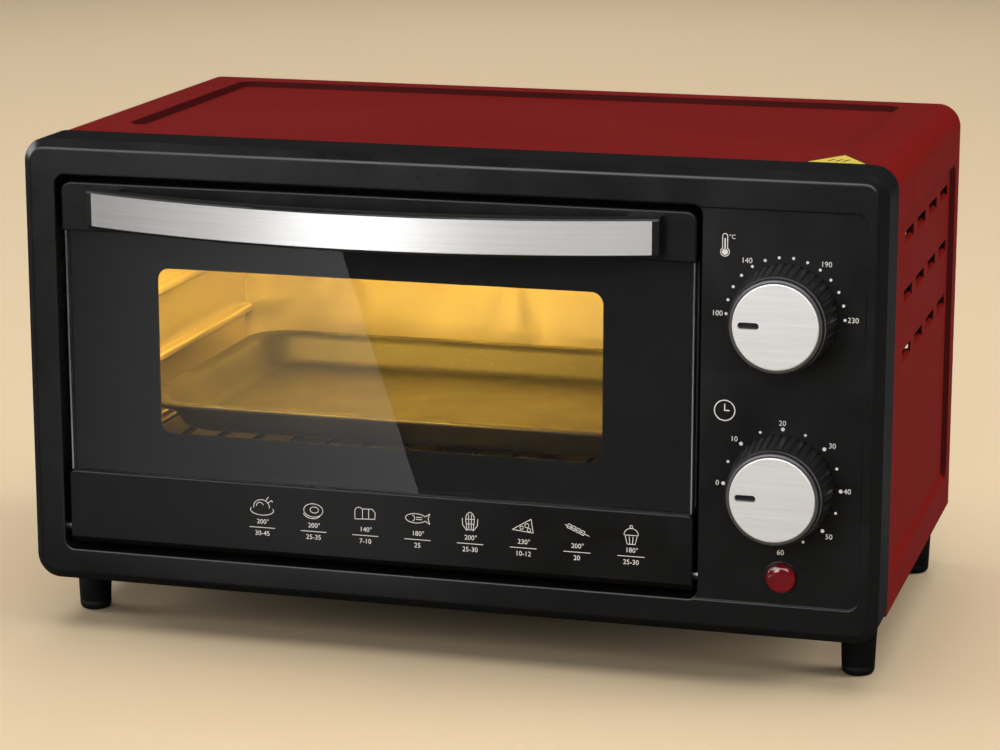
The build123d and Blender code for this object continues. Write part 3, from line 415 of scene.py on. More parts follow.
# ---- Cavity liner, crumb tray and door lining ----------------------------------------
# Aluminised steel sheet, spot welded into a box with pressed rack rails. Heat has left it faintly
# straw coloured and mottled, and the sheet keeps the long marks of its rolling.
stripe_group, nodes, links, takes, gives = new_group(
    "rolling_marks",
    [("Along", "NodeSocketVector", (8.0, 900.0, 900.0)), ("Detail", "NodeSocketFloat", 4.0)],
    [("Lines", "NodeSocketFloat")])
where = nodes.new("ShaderNodeTexCoord")
stretch = nodes.new("ShaderNodeVectorMath")
stretch.operation = "MULTIPLY"
lines = nodes.new("ShaderNodeTexNoise")
lines.inputs["Scale"].default_value = 1.0
lines.inputs["Roughness"].default_value = 0.65
links.new(where.outputs["Object"], stretch.inputs[0])
links.new(takes.outputs["Along"], stretch.inputs[1])
links.new(stretch.outputs["Vector"], lines.inputs["Vector"])
links.new(takes.outputs["Detail"], lines.inputs["Detail"])
links.new(lines.outputs["Fac"], gives.inputs["Lines"])

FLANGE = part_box("inner_cavity")[0].y + 1.0 * MM
FEATHER = 0.1 * MM


def liner_finish(name, painted_shade_mouth=False):
    """Aluminised sheet; optionally its mouth flange is coloured near black as painted shade for the dark gap
    round the door.
    """
    material, nodes, links, shader = open_material(name, (0.66, 0.62, 0.54), 0.38, 0.85)
    grain = place_group(nodes, grain_group, Size=700.0, Smudge_Size=22.0)
    rolled = place_group(nodes, stripe_group, Along=(14.0, 14.0, 500.0))
    tarnish_and_mouth_shade = blend_colours(nodes, links, grain.outputs["Smudge"], (0.56, 0.52, 0.44), (0.74, 0.70, 0.62))
    links.new(spread(nodes, links, grain.outputs["Smudge"], 0.30, 0.50, 0.3, 0.7), shader.inputs["Roughness"])
    raise_grain(nodes, links, shader, rolled.outputs["Lines"], 0.00008, 0.35)
    if painted_shade_mouth:
        # painted shade: the liner in front of FLANGE, its mouth flange, turns near black; the straw tarnish
        # elsewhere is the sheet's own colour
        where = nodes.new("ShaderNodeTexCoord")
        place_of = nodes.new("ShaderNodeSeparateXYZ")
        links.new(where.outputs["Object"], place_of.inputs["Vector"])
        flange = spread(nodes, links, place_of.outputs["Y"], 0.0, 1.0, FLANGE - FEATHER, FLANGE + FEATHER)
        tarnish_and_mouth_shade = blend_colours(nodes, links, flange, (0.012, 0.012, 0.012), tarnish_and_mouth_shade)
    links.new(tarnish_and_mouth_shade, shader.inputs["Base Color"])
    return material


# the cavity liner's mouth flange carries painted shade
dress(liner_finish("liner_sheet", painted_shade_mouth=True), "inner_cavity")
dress(liner_finish("lining_sheet"), "crumb_tray", "door_inner_panel")

# ---- Heaters and their insulators ----------------------------------------------------
# Steel-sheathed heating rods, dulled dark and oxidised by use, held through the cavity wall in
# unglazed ceramic collars.
sheath = mottled("heater_sheath", (0.08, 0.07, 0.065), (0.22, 0.19, 0.16), (0.40, 0.62), 900.0, 60.0,
                 metallic=0.8, bump=0.00006, strength=0.6)
dress(sheath, "upper_front_heater", "upper_rear_heater", "lower_front_heater", "lower_rear_heater")
ceramic, *_ = grained_finish("ceramic", (0.72, 0.69, 0.62), (0.55, 0.52, 0.46), 0.75, speckle=1200.0,
                             depth=0.00012, edge=0.0008, wear=0.6)
dress(ceramic, "heater_insulators")

# ---- Wire rack -----------------------------------------------------------------------
# Drawn steel wire, chrome plated after welding: a thick frame wire with fifteen thinner bars
# resting on it and one cross wire underneath. The bars' ends are cropped and rounded.


def tube(shape, path, radius, sides=14, closed=False):
    """Sweep a round section along a path into a bmesh; open ends are domed."""
    points = [Vector(p) for p in path]
    count = len(points)
    rings, up = [], None
    for i, point in enumerate(points):
        before = points[i - 1] if (i or closed) else point
        after = points[(i + 1) % count] if (i < count - 1 or closed) else point
        way = (after - before).normalized()
        if up is None:
            up = Vector((0, 0, 1)) if abs(way.z) < 0.9 else Vector((0, 1, 0))
        side = way.cross(up).normalized()
        up = side.cross(way).normalized()
        rings.append((point, way, side, up))

    def ring(point, side, up, size):
        return [shape.verts.new(point + (side * math.cos(2 * math.pi * k / sides)
                                         + up * math.sin(2 * math.pi * k / sides)) * size)
                for k in range(sides)]

    loops = []
    if not closed:
        point, way, side, up = rings[0]
        for lean in (80, 50, 25):
            back, size = math.sin(math.radians(lean)), math.cos(math.radians(lean))
            loops.append(ring(point - way * radius * 0.5 * back, side, up, radius * size))
    loops += [ring(point, side, up, radius) for point, way, side, up in rings]
    if not closed:
        point, way, side, up = rings[-1]
        for lean in (25, 50, 80):
            ahead, size = math.sin(math.radians(lean)), math.cos(math.radians(lean))
            loops.append(ring(point + way * radius * 0.5 * ahead, side, up, radius * size))
    pairs = list(zip(loops, loops[1:])) + ([(loops[-1], loops[0])] if closed else [])
    for first, second in pairs:
        for k in range(sides):
            shape.faces.new((first[k], first[(k + 1) % sides], second[(k + 1) % sides], second[k]))
    if not closed:
        shape.faces.new(list(reversed(loops[0])))
        shape.faces.new(loops[-1])


def rounded_rectangle(x0, x1, y0, y1, radius, z, steps=8):
    """Points round a rectangle with round corners, seen from above, anticlockwise."""
    points = []
    for cx, cy, start in ((x1 - radius, y0 + radius, -90), (x1 - radius, y1 - radius, 0),
                          (x0 + radius, y1 - radius, 90), (x0 + radius, y0 + radius, 180)):
        for k in range(steps + 1):
            turn = math.radians(start + 90 * k / steps)
            points.append((cx + radius * math.cos(turn), cy + radius * math.sin(turn), z))
    return points


def finish_mesh(name, shape, material, body, smooth=True, angle=35):
    """Turn a bmesh into a piece that rides on a body, with smooth faces and sharp corners kept."""
    bmesh.ops.recalc_face_normals(shape, faces=shape.faces)
    mesh = bpy.data.meshes.new(name)
    shape.to_mesh(mesh)
    shape.free()
    mesh.materials.append(material)
    piece = bpy.data.objects.new(name, mesh)
    bpy.context.scene.collection.objects.link(piece)
    if smooth:
        mesh.shade_smooth()
        mesh.set_sharp_from_angle(angle=math.radians(angle))
    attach(piece, body)
    return piece


bright_plate = mottled("bright_plate", (0.80, 0.80, 0.82), (0.66, 0.62, 0.56), (0.08, 0.28), 1500.0, 90.0,
                       bump=0.00002, mottle=(0.35, 0.7))

low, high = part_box("wire_rack")
WIRE, CROSS_WIRE, BAR = 2.0 * MM, 1.6 * MM, 1.3 * MM
BARS, END_GAP, OVERHANG = 15, 10 * MM, 0.6 * MM
rack_shape = bmesh.new()
rim_z, bar_z = low.z + WIRE, high.z - BAR
x0, x1, y0, y1 = low.x + WIRE, high.x - WIRE, low.y + WIRE, high.y - WIRE
tube(rack_shape, rounded_rectangle(x0, x1, y0, y1, 4.5 * MM, rim_z, 6), WIRE, 16, closed=True)
tube(rack_shape, [(x0 + (x1 - x0) * k / 12, (y0 + y1) / 2, rim_z) for k in range(13)], CROSS_WIRE)
for i in range(BARS):
    x = x0 + END_GAP + i * (x1 - x0 - 2 * END_GAP) / (BARS - 1)
    tube(rack_shape, [(x, y0 - OVERHANG + (y1 - y0 + 2 * OVERHANG) * k / 10, bar_z) for k in range(11)], BAR)
rack = finish_mesh("rack_wires", rack_shape, bright_plate, "rack")
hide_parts("wire_rack")

# ---- Baking tray ---------------------------------------------------------------------
# Deep-drawn steel tray with sloping walls, a flat lip and a rolled edge, coated in dark speckled
# non-stick enamel inside and out. It stands loose on the rack.


def skin(shape, loops, cap_first=True, cap_last=True):
    """Join point loops of equal length into one surface."""
    made = [[shape.verts.new(p) for p in loop] for loop in loops]
    for first, second in zip(made, made[1:]):
        for k in range(len(first)):
            n = (k + 1) % len(first)
            shape.faces.new((first[k], first[n], second[n], second[k]))
    if cap_first:
        shape.faces.new(list(reversed(made[0])))
    if cap_last:
        shape.faces.new(made[-1])


enamel, nodes, links, shader = open_material("dark_enamel", (0.03, 0.03, 0.03), 0.3)
where = nodes.new("ShaderNodeTexCoord")
flecks = nodes.new("ShaderNodeTexVoronoi")
flecks.inputs["Scale"].default_value = 420.0
grain = place_group(nodes, grain_group, Size=1600.0, Smudge_Size=30.0)
links.new(where.outputs["Object"], flecks.inputs["Vector"])
fleck_mask = spread(nodes, links, flecks.outputs["Distance"], 1.0, 0.0, 0.10, 0.20)
links.new(blend_colours(nodes, links, fleck_mask, (0.028, 0.028, 0.030), (0.055, 0.055, 0.055)),
          shader.inputs["Base Color"])
links.new(spread(nodes, links, grain.outputs["Smudge"], 0.42, 0.56, 0.3, 0.7), shader.inputs["Roughness"])
raise_grain(nodes, links, shader, grain.outputs["Height"], 0.00003, 0.4)

low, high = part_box("baking_tray")
SHEET, LIP, SLOPE = 0.8, 6.0, 7.0
FOOT_IN = LIP + SLOPE


def tray_loop(inset, z):
    """One level line round the tray, inset from its outer edge; its corners tighten inwards."""
    radius = max(20 * MM - inset * 0.35, 3 * MM)
    return rounded_rectangle(low.x + inset, high.x - inset, low.y + inset, high.y - inset, radius, z, 10)


# from the middle of the floor's underside out and up to the lip's rolled edge: inset, height in mm
under_floor = [(FOOT_IN + 8, 0.25), (FOOT_IN + 5, 0.0), (FOOT_IN + 2, 0.1), (FOOT_IN, 1.2),
               (FOOT_IN - 1, 3.0)]
outer_lip = [(LIP + 1.4, 3.4), (LIP + 0.5, 1.7), (LIP - 0.6, 0.95), (2.0, SHEET), (1.2, 1.9), (0.6, 2.1),
             (0.1, 1.5), (0.0, 1.0), (0.2, 0.4), (0.9, 0.0)]
# and from the rolled edge down the inside to the floor; lip heights are counted down from the top
inner_lip = [(2.0, 0.0), (LIP - 0.2, 0.1), (LIP + 1.0, 0.8), (LIP + 2.1, 3.0)]
inner_floor = [(FOOT_IN - 0.2, 3.4), (FOOT_IN + 0.9, 1.8), (FOOT_IN + 2.6, 1.0), (FOOT_IN + 5.2, SHEET),
               (FOOT_IN + 8, 1.0)]
tray_shape = bmesh.new()
skin(tray_shape, [tray_loop(inset * MM, low.z + up * MM) for inset, up in under_floor]
     + [tray_loop(inset * MM, high.z - down * MM) for inset, down in outer_lip + inner_lip]
     + [tray_loop(inset * MM, low.z + up * MM) for inset, up in inner_floor])
tray = finish_mesh("tray_pan", tray_shape, enamel, "rack", angle=60)
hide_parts("baking_tray")

# ---- Door rails ----------------------------------------------------------------------
# The top and bottom rails are moulded in gloss-black heat-proof plastic and clamp the glass
# between them. Faint finger marks show in the gloss.
rail_gloss, _, _, shader = grained_finish("rail_gloss", (0.0060, 0.0060, 0.0062), (0.03, 0.03, 0.03), 0.32,
                                          speckle=2600.0, depth=0.000005, smudges=30.0, edge=0.0005, wear=0.1)
shader.inputs["Specular IOR Level"].default_value = 0.3
dress(rail_gloss, "door_top_rail", "door_bottom_rail")

# ---- Door glass and its mask ---------------------------------------------------------
# A 4 mm pane of tempered glass with ground edges, polished, with faint wiping marks. Behind it a
# blackened steel mask leaves only the window clear, so the border reads as black glass.
pane, nodes, links, shader = open_material("door_pane", (0.93, 0.95, 0.94), 0.0)
shader.inputs["Transmission Weight"].default_value = 1.0
shader.inputs["IOR"].default_value = 1.5
grain = place_group(nodes, grain_group, Size=400.0, Smudge_Size=11.0)
links.new(spread(nodes, links, grain.outputs["Smudge"], 0.0, 0.02, 0.55, 0.8), shader.inputs["Roughness"])
dress(pane, "door_glass")
mask_black, *_ = grained_finish("mask_black", (0.010, 0.010, 0.010), (0.02, 0.02, 0.02), 0.85, depth=0.000002)
dress(mask_black, "glass_mask")

# The pane's two upright edges are closed with a bright pressed strip that shows as a thin line.
edge_metal, nodes, links, shader = open_material("edge_metal", (0.62, 0.62, 0.62), 0.28, 1.0)
rolled = place_group(nodes, stripe_group, Along=(900.0, 900.0, 20.0))
links.new(spread(nodes, links, rolled.outputs["Lines"], 0.2, 0.4, 0.3, 0.7), shader.inputs["Roughness"])
raise_grain(nodes, links, shader, rolled.outputs["Lines"], 0.00003, 0.4)
glass_low, glass_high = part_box("door_glass")
strip_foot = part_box("door_bottom_rail")[1].z + 0.2 * MM
strip_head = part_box("door_top_rail")[0].z - 0.2 * MM
# section of the strip: outwards from the pane's edge, and behind the front face, in mm
strip_section = [(0.1, 5.8), (0.1, 2.4), (0.1, 1.9), (0.3, 1.6), (0.6, 1.5), (0.9, 1.6), (1.1, 1.9),
                 (1.1, 2.4), (1.1, 5.8)]
for side, x, way in (("left", glass_low.x, -1), ("right", glass_high.x, 1)):
    strip_shape = bmesh.new()
    skin(strip_shape, [[(x + way * out * MM, FRONT + behind * MM, z) for out, behind in strip_section]
                       for z in (strip_foot, strip_head)])
    strip = finish_mesh(f"glass_edge_{side}", strip_shape, edge_metal, "door")

# ---- Handle --------------------------------------------------------------------------
# A bowed bar of black plastic screwed through the top rail at both ends, faced with a strip of
# aluminium brushed along its length and folded into a shallow seat.
grip_plastic, *_ = grained_finish("grip_plastic", (0.008, 0.008, 0.008), (0.04, 0.04, 0.04), 0.36,
                                  speckle=1900.0, depth=0.00003)
dress(grip_plastic, "handle_bar")


def brushed_aluminium(name, dark, pale, gloss, metallic, fine_marks, coarse_marks, bump):
    """Sheet brushed along X: fine lines in the gloss and the bump, broader ones in the colour."""
    made, nodes, links, shader = open_material(name, pale, gloss[0], metallic)
    fine = place_group(nodes, stripe_group, Along=fine_marks, Detail=5.0)
    coarse = place_group(nodes, stripe_group, Along=coarse_marks, Detail=2.0)
    links.new(blend_colours(nodes, links, coarse.outputs["Lines"], dark, pale), shader.inputs["Base Color"])
    links.new(spread(nodes, links, fine.outputs["Lines"], *gloss, 0.3, 0.7), shader.inputs["Roughness"])
    raise_grain(nodes, links, shader, fine.outputs["Lines"], bump, 0.5)
    return made, shader


facing, shader = brushed_aluminium("brushed_facing", (0.74, 0.74, 0.74), (0.94, 0.94, 0.94), (0.34, 0.46),
                                   0.85, (9.0, 9.0, 5200.0), (14.0, 14.0, 1500.0), 0.00006)
shader.inputs["Anisotropic"].default_value = 0.8
shader.inputs["Anisotropic Rotation"].default_value = 0.25
dress(facing, "handle_strip")

# ---- Control knobs -------------------------------------------------------------------
# Fluted black knobs moulded in satin plastic, each with a brushed aluminium disc glued in its
# face, pierced so that the pointer shows black, and a narrow satin ring pressed over its shoulder.
knob_plastic, *_ = grained_finish("knob_plastic", (0.0065, 0.0065, 0.0065), (0.03, 0.03, 0.03), 0.34,
                                  speckle=2200.0, depth=0.00003, edge=0.0004)
dress(knob_plastic, "temperature_knob", "timer_knob")
disc, _ = brushed_aluminium("brushed_disc", (0.78, 0.80, 0.83), (0.96, 0.98, 1.0), (0.36, 0.52), 0.45,
                            (12.0, 12.0, 4200.0), (30.0, 30.0, 1300.0), 0.00005)
dress(disc, "temperature_cap", "timer_cap")


def lathe(shape, profile, axis_point, direction, sides=56, ring=False):
    """Turn a profile of (radius, along) about a line: a solid, or a ring if the profile closes."""
    way = Vector(direction).normalized()
    side = way.orthogonal().normalized()
    up = way.cross(side)
    turns = [2 * math.pi * k / sides for k in range(sides)]
    spokes = [side * math.cos(turn) + up * math.sin(turn) for turn in turns]
    loops = []
    for radius, along in profile:
        centre = Vector(axis_point) + way * along
        loops.append([centre + spoke * max(radius, 1e-6) for spoke in spokes])
    skin(shape, loops, cap_first=not ring, cap_last=not ring)
    if ring:
        bmesh.ops.remove_doubles(shape, verts=shape.verts, dist=1e-7)


satin_ring = mottled("satin_ring", (0.085, 0.085, 0.088), (0.12, 0.12, 0.123), (0.30, 0.42), 1400.0, 120.0,
                     metallic=0.45, bump=0.00001)
# radius of the ring, and depth behind the knob's front, in mm
shoulder = [(17.2, 0.5), (17.2, -0.1), (17.5, -0.15), (18.1, 0.05), (18.6, 0.5), (18.95, 1.2), (19.2, 2.0),
            (19.3, 2.4), (18.9, 2.6), (17.2, 0.5)]
for control in ("temperature", "timer"):
    low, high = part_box(control + "_knob")
    ring_shape = bmesh.new()
    lathe(ring_shape, [(radius * MM, along * MM) for radius, along in shoulder],
          ((low.x + high.x) / 2, low.y, (low.z + high.z) / 2), (0, 1, 0), 72, ring=True)
    ring_piece = finish_mesh(control + "_ring", ring_shape, satin_ring, control + "_control", angle=50)

# ---- Dial marks ----------------------------------------------------------------------
# White ink pad-printed on the control column: dots and plain numbers round each knob, a
# thermometer and a clock face. The ink stands a few hundredths of a millimetre proud.
ink, nodes, links, shader = open_material("white_ink", (0.80, 0.80, 0.80), 0.55)
grain = place_group(nodes, grain_group, Size=3000.0, Smudge_Size=300.0)
links.new(blend_colours(nodes, links, grain.outputs["Smudge"], (0.86, 0.87, 0.89), (0.98, 0.98, 1.0)),
          shader.inputs["Base Color"])
links.new(spread(nodes, links, grain.outputs["Height"], 0.48, 0.62), shader.inputs["Roughness"])
INK = 0.03 * MM


def raise_outline(shape, outline, out):
    """Closed outline raised by an offset, open behind."""
    back = [shape.verts.new(point) for point in outline]
    face = [shape.verts.new([place + shift for place, shift in zip(point, out)]) for point in outline]
    shape.faces.new(face)
    for k in range(len(outline)):
        n = (k + 1) % len(outline)
        shape.faces.new((back[k], back[n], face[n], face[k]))


def print_outline(shape, points, y):
    """Flat closed patch of ink; points are (x, z) in metres."""
    raise_outline(shape, [(x, y, z) for x, z in points], (0, -INK, 0))


def arc(x, z, radius, start, stop, steps=24, squash=1.0):
    turns = [math.radians(start + (stop - start) * k / steps) for k in range(steps + 1)]
    return [(x + radius * math.cos(turn), z + squash * radius * math.sin(turn)) for turn in turns]


def print_dot(shape, x, z, radius, y, sides=20):
    print_outline(shape, arc(x, z, radius, 0, 360, sides)[:-1], y)


def print_line(shape, points, width, y, closed=False):
    """Stroke of ink along points, with round joins made by dots."""
    ends = points + points[:1] if closed else points
    for (xa, za), (xb, zb) in zip(ends, ends[1:]):
        length = math.hypot(xb - xa, zb - za)
        if length < 1e-9:
            continue
        nx, nz = -(zb - za) / length * width / 2, (xb - xa) / length * width / 2
        print_outline(shape, [(xa + nx, za + nz), (xa - nx, za - nz), (xb - nx, zb - nz),
                              (xb + nx, zb + nz)], y)
    for x, z in points:
        print_dot(shape, x, z, width / 2, y - INK * 0.1, 10)


def print_text(shape, words, x, z, height, y):
    """Plain lettering whose middle stands at x, z."""
    curve = bpy.data.curves.new("lettering", "FONT")
    curve.body, curve.size = words, height / 0.70
    curve.align_x = curve.align_y = "CENTER"
    curve.resolution_u = 4
    letters = bpy.data.objects.new("lettering", curve)
    bpy.context.scene.collection.objects.link(letters)
    bpy.context.view_layer.update()
    flat = bpy.data.meshes.new_from_object(letters.evaluated_get(bpy.context.evaluated_depsgraph_get()))
    flat.transform(Matrix.Translation((x, y - INK, z)) @ Matrix.Rotation(math.radians(90), 4, "X"))
    shape.from_mesh(flat)
    bpy.data.objects.remove(letters)
    bpy.data.curves.remove(curve)
    bpy.data.meshes.remove(flat)


column = FRONT + 0.8 * MM
KNOB_X, TEMPERATURE_Z, TIMER_Z, RING = 140.6 * MM, 153.3 * MM, 84.7 * MM, 23.5 * MM
FIGURE = 2.1 * MM
marks = bmesh.new()


def dial(middle_z, count, step, dots, figures):
    """Dots clockwise from the left round a knob, every second one alike; figures are shifted in mm."""
    for i in range(count):
        turn = math.radians(180 - i * step)
        x, z = KNOB_X + RING * math.cos(turn), middle_z + RING * math.sin(turn)
        print_dot(marks, x, z, dots[i % 2] * MM, column)
        if i in figures:
            words, right, up = figures[i]
            print_text(marks, words, x + right * MM, z + up * MM, FIGURE, column)


dial(TEMPERATURE_Z, 14, 180 / 13, (0.6, 0.6),
     {0: ("100", -3.5, 0.0), 4: ("140", -2.2, 2.2), 9: ("190", 2.4, 2.2), 13: ("230", 3.2, 0.0)})
dial(TIMER_Z, 12, 22.5, (0.78, 0.58),
     {0: ("0", -2.4, 0.0), 2: ("10", -2.8, 1.7), 4: ("20", -0.2, 2.4), 6: ("30", 3.1, 1.4),
      8: ("40", 2.6, 0.0), 10: ("50", 2.6, -2.3)})
print_text(marks, "60", KNOB_X, TIMER_Z - 26.8 * MM, FIGURE, column)
# thermometer: a stem with a full bulb, and the unit beside it
tx, tz = 116.3 * MM, 180.9 * MM
STEM, stem_top, bulb = 0.32 * MM, tz + 3.2 * MM, tz - 3.0 * MM
print_line(marks, [(tx - MM, tz - 1.8 * MM), (tx - MM, stem_top)] + arc(tx, stem_top, MM, 180, 0, 10)
           + [(tx + MM, tz - 1.8 * MM)], STEM, column)
print_line(marks, arc(tx, bulb, 1.75 * MM, 122, 418, 20), STEM, column)
print_dot(marks, tx, bulb, 1.2 * MM, column)
print_line(marks, [(tx, tz - 2.6 * MM), (tx, tz + 2.2 * MM)], 0.5 * MM, column)
print_text(marks, "°C", tx + 2.9 * MM, tz + 3.0 * MM, 1.7 * MM, column)
# clock face with two hands
cx, cz = 117.2 * MM, 114.4 * MM
print_line(marks, arc(cx, cz, 4.1 * MM, 0, 360, 40)[:-1], 0.42 * MM, column, closed=True)
print_line(marks, [(cx, cz + 2.5 * MM), (cx, cz), (cx + 1.9 * MM, cz)], 0.45 * MM, column)
dial_marks = finish_mesh("dial_marks", marks, ink, "housing", smooth=False)

# ---- Cooking guide on the bottom rail ------------------------------------------------
# The same white ink on the bottom rail: eight small line drawings of food, each over its usual
# temperature and minutes.
guide = bmesh.new()
HAIR = 0.26 * MM


def sketch(shape, x, z, scale, strokes):
    """Line drawing from strokes of unit points round its middle."""
    for points in strokes:
        print_line(shape, [(x + px * scale, z + pz * scale) for px, pz in points], HAIR, FRONT)


bird = [arc(0, -0.35, 1.15, 160, 380, 22, 0.42), arc(-0.05, 0.0, 0.78, -10, 190, 18, 0.85),
        [(0.55, 0.35), (0.95, 0.65), (1.05, 0.50)], [(0.35, 0.55), (0.65, 0.95)],
        arc(-0.2, 0.05, 0.35, 20, 180, 10)]
steak = [arc(0, 0, 0.95, 0, 360, 26, 0.68), arc(0.1, 0.05, 0.42, 0, 360, 16, 0.7),
         arc(-0.1, -0.12, 0.95, 200, 320, 12, 0.72)]
loaf = [[(-1.0, -0.5), (-1.0, 0.15)] + arc(-0.6, 0.25, 0.4, 180, 40, 8)
        + [(0.7, 0.55), (1.0, 0.2), (0.95, -0.4), (-1.0, -0.5)],
        [(-0.25, -0.45), (-0.25, 0.45)], [(0.35, -0.42), (0.35, 0.5)]]
fish = [arc(-0.15, 0, 1.0, 25, 335, 26, 0.45),
        [(0.75, 0.2), (1.2, 0.5), (1.05, 0.0), (1.2, -0.5), (0.75, -0.2)],
        arc(-0.55, 0.0, 0.3, -70, 70, 8), [(-0.1, 0.1), (0.45, 0.1)], [(-0.1, -0.1), (0.45, -0.1)]]
corn = [arc(0, 0.25, 0.42, 0, 180, 12, 1.7) + [(-0.3, -0.7), (0.3, -0.7), (0.42, 0.25)],
        [(-0.14, 0.75), (-0.12, -0.6)], [(0.14, 0.75), (0.12, -0.6)],
        [(-0.4, 0.3), (0.4, 0.3)], [(-0.38, -0.15), (0.38, -0.15)],
        [(-0.75, 0.35), (-0.7, -0.3), (-0.3, -0.8)], [(0.75, 0.35), (0.7, -0.3), (0.3, -0.8)]]
slice_of = [[(-1.05, -0.35), (0.75, 0.75), (0.95, -0.55), (-1.05, -0.35)], arc(0.35, 0.1, 0.2, 0, 360, 10),
            arc(-0.15, -0.12, 0.17, 0, 360, 10), arc(0.55, -0.3, 0.17, 0, 360, 10)]
chunk = [(-0.8, 0.62), (-0.5, 0.49), (-0.64, 0.12), (-0.94, 0.25), (-0.8, 0.62)]
skewer = [[(-1.1, 0.5), (1.15, -0.45)]] + [[(x + k * 0.42, z - k * 0.18) for x, z in chunk] for k in range(4)]
cupcake = [[(-0.55, -0.15), (-0.38, -0.9), (0.38, -0.9), (0.55, -0.15)],
           arc(0, -0.05, 0.68, 0, 180, 16, 0.95) + [(-0.68, -0.05), (0.68, -0.05)],
           [(-0.18, -0.2), (-0.13, -0.85)], [(0.18, -0.2), (0.13, -0.85)], arc(0, 0.75, 0.14, 0, 360, 8)]
dishes = [(bird, "200°", "30-45"), (steak, "200°", "25-35"), (loaf, "140°", "7-10"), (fish, "180°", "25"),
          (corn, "200°", "25-30"), (slice_of, "230°", "10-12"), (skewer, "200°", "20"),
          (cupcake, "180°", "25-30")]
FIRST_X, PITCH, RULE_HALF = -77.0, 22.44, 5.5 * MM
PICTURE_Z, DEGREES_Z, RULE_Z, MINUTES_Z = 60.8 * MM, 54.3 * MM, 51.8 * MM, 49.3 * MM
for i, (strokes, degrees, minutes) in enumerate(dishes):
    x = (FIRST_X + PITCH * i) * MM
    sketch(guide, x, PICTURE_Z, 4.4 * MM, strokes)
    print_text(guide, degrees, x + 0.3 * MM, DEGREES_Z, 2.0 * MM, FRONT)
    print_line(guide, [(x - RULE_HALF, RULE_Z), (x + RULE_HALF, RULE_Z)], HAIR, FRONT)
    print_text(guide, minutes, x, MINUTES_Z, 2.0 * MM, FRONT)
cooking_guide = finish_mesh("cooking_guide", guide, ink, "door", smooth=False)

# ---- Indicator lamp ------------------------------------------------------------------
# A clear red polycarbonate dome snapped into the column inside a thin black collar, with moulded
# rings that spread the neon lamp's light. It is off. Its holder shows only from behind.
red_dome, nodes, links, shader = open_material("red_dome", (0.30, 0.006, 0.012), 0.12)
shader.inputs["Coat Weight"].default_value = 1.0
shader.inputs["Coat Roughness"].default_value = 0.04
where = nodes.new("ShaderNodeTexCoord")
rings = nodes.new("ShaderNodeTexVoronoi")
rings.inputs["Scale"].default_value = 900.0
links.new(where.outputs["Object"], rings.inputs["Vector"])
links.new(blend_colours(nodes, links, rings.outputs["Distance"], (0.17, 0.004, 0.008), (0.22, 0.007, 0.013)),
          shader.inputs["Base Color"])
lens_low, lens_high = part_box("lamp_lens")
lens_x, lens_z = (lens_low.x + lens_high.x) / 2, (lens_low.z + lens_high.z) / 2
lens_r, reach = (lens_high.x - lens_low.x) / 2, lens_high.y - lens_low.y
# shares of the radius and of the reach
dome = [(1, 0), (1, 0.30), (0.985, 0.40), (0.94, 0.55), (0.86, 0.70), (0.72, 0.83), (0.52, 0.93),
        (0.28, 0.985), (0.08, 1), (0, 1)]
lens_shape = bmesh.new()
lathe(lens_shape, [(lens_r * out, reach * along) for out, along in dome],
      (lens_x, lens_high.y, lens_z), (0, -1, 0))
lamp = finish_mesh("lamp_dome", lens_shape, red_dome, "housing", angle=60)
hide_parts("lamp_lens")
rim_shape = bmesh.new()
rim = [(6.1, 0.0), (7.0, 0.0), (6.85, 0.3), (6.4, 0.45), (6.1, 0.3), (6.1, 0.0)]
lathe(rim_shape, [(radius * MM, along * MM) for radius, along in rim], (lens_x, column, lens_z), (0, -1, 0),
      ring=True)
lamp_rim = finish_mesh("lamp_rim", rim_shape, frame_plastic, "housing", angle=60)

# ---- Thermostat, timer, lamp holder and terminal block -------------------------------
# Cream and white moulded insulator bodies behind the column, with tinned tabs; the timer strikes
# a small brass bell when it runs out.
moulding, *_ = grained_finish("cream_moulding", (0.66, 0.64, 0.58), (0.75, 0.73, 0.68), 0.5, speckle=1300.0)
dress(moulding, "thermostat", "timer", "lamp_holder", "terminal_block")
bell_brass = mottled("bell_brass", (0.46, 0.31, 0.11), (0.70, 0.53, 0.25), (0.22, 0.48), 800.0, 80.0)
dress(bell_brass, "timer_bell")
sleeve, *_ = grained_finish("wire_sleeve", (0.60, 0.56, 0.48), (0.66, 0.62, 0.55), 0.6, speckle=1400.0,
                            depth=0.0001)
dress(sleeve, "wiring")

# ---- Feet ----------------------------------------------------------------------------
# Four tapered feet moulded in black rubber, each with a shallow ring near the table and a dished
# underside; a screw through the base plate holds each one.
rubber, _, _, shader = grained_finish("foot_rubber", (0.0035, 0.0035, 0.0035), (0.010, 0.010, 0.010), 0.62,
                                      speckle=1300.0, depth=0.00008, edge=0.0006)
shader.inputs["Specular IOR Level"].default_value = 0.25
for name in ("foot_front_left", "foot_front_right", "foot_rear_left", "foot_rear_right"):
    low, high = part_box(name)
    x, y = (low.x + high.x) / 2, (low.y + high.y) / 2
    wide, tall = (high.x - low.x) / 2 / MM, high.z / MM
    slim = wide - 1.0
    # from the middle of the dished underside out, up the side and back in: radius, height in mm
    profile = [(0, 0.9), (3.2, 0.9), (3.8, 0.1), (4.2, 0.0), (5.0, 0.0), (5.9, 0.3), (slim - 0.35, 1.0),
               (slim - 0.05, 2.2), (slim, 3.4), (slim - 0.16, 3.6), (slim - 0.16, 4.0), (slim + 0.02, 4.2),
               (slim + 0.3, 12), (wide - 0.05, tall - 1.0), (wide, tall - 0.4), (wide - 0.4, tall), (0, tall)]
    foot_shape = bmesh.new()
    lathe(foot_shape, [(radius * MM, up * MM) for radius, up in profile], (x, y, 0), (0, 0, 1), 40)
    foot = finish_mesh(name + "_moulding", foot_shape, rubber, "housing", angle=45)
    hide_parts(name)

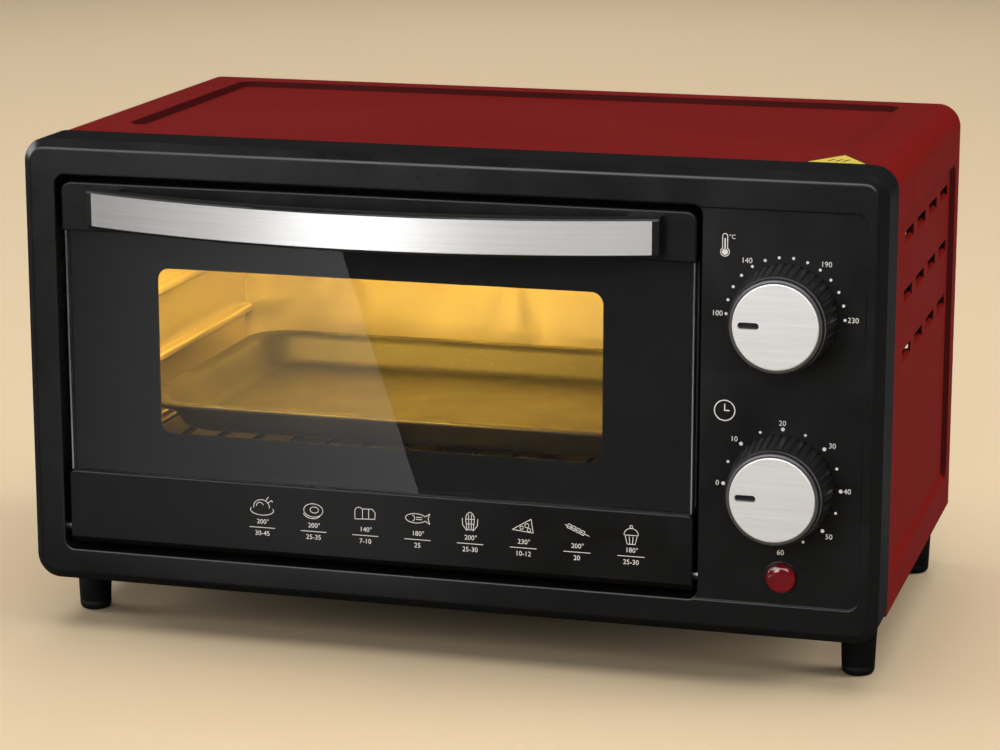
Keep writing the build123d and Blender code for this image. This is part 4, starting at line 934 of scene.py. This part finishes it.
# ---- Hot-surface label ---------------------------------------------------------------
# A small yellow film triangle stuck on the top near the control side, with a dark border and
# three plain slanted bars.
label_yellow = mottled("label_yellow", (0.56, 0.42, 0.04), (0.68, 0.54, 0.07), (0.38, 0.52), 2000.0, 60.0,
                       metallic=0.0, mottle=(0.0, 1.0))
label_black, *_ = grained_finish("label_black", (0.012, 0.012, 0.012), (0.02, 0.02, 0.02), 0.45)


def film(shape, points, z, thick):
    """Flat patch on a level face; points are (x, y)."""
    raise_outline(shape, [(x, y, z) for x, y in points], (0, 0, thick))


label_x, label_y, label_z = 154.4 * MM, FRONT + 29 * MM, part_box("outer_housing")[1].z
LABEL_HALF, LABEL_DEEP, FILM, PRINT = 13.1 * MM, 22.7 * MM, 0.08 * MM, 0.02 * MM
corners = [(label_x - LABEL_HALF, label_y), (label_x + LABEL_HALF, label_y), (label_x, label_y + LABEL_DEEP)]
middle = Vector((sum(x for x, y in corners) / 3, sum(y for x, y in corners) / 3))


def shrunk(points, share):
    return [tuple(middle + (Vector(p) - middle) * share) for p in points]


label_shape = bmesh.new()
film(label_shape, corners, label_z, FILM)
border = finish_mesh("label_border", label_shape, label_black, "housing", smooth=False)
label_shape = bmesh.new()
film(label_shape, shrunk(corners, 0.88), label_z + FILM, PRINT)
field = finish_mesh("label_field", label_shape, label_yellow, "housing", smooth=False)
label_shape = bmesh.new()
for k in (-1, 0, 1):
    cx = middle.x + k * 3.0 * MM
    film(label_shape, [(cx - 1.4 * MM, middle.y - 3.4 * MM), (cx - 0.5 * MM, middle.y - 3.4 * MM),
                       (cx + 1.2 * MM, middle.y + 2.6 * MM), (cx + 0.3 * MM, middle.y + 2.6 * MM)],
         label_z + FILM + PRINT, PRINT)
bars = finish_mesh("label_bars", label_shape, label_black, "housing", smooth=False)

# ---- Glow in the cavity --------------------------------------------------------------
# Warm light fills the oven as if it were baking. One broad soft source hangs under the roof and a
# narrow one lies just inside the window.
cavity_low, cavity_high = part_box("inner_cavity")
mid_x = (cavity_low.x + cavity_high.x) / 2
mid_y = (cavity_low.y + cavity_high.y) / 2
WARM = (1.0, 0.57, 0.07)
soft_light("cavity_roof", (mid_x, mid_y, cavity_high.z - 6 * MM), (mid_x, mid_y, 0), 0.22, 0.14, 4.2, WARM)
soft_light("cavity_front", (mid_x - 0.05, cavity_low.y + 20 * MM, cavity_high.z - 14 * MM),
           (mid_x, mid_y + 0.1, 0.09), 0.16, 0.01, 1.6, WARM)
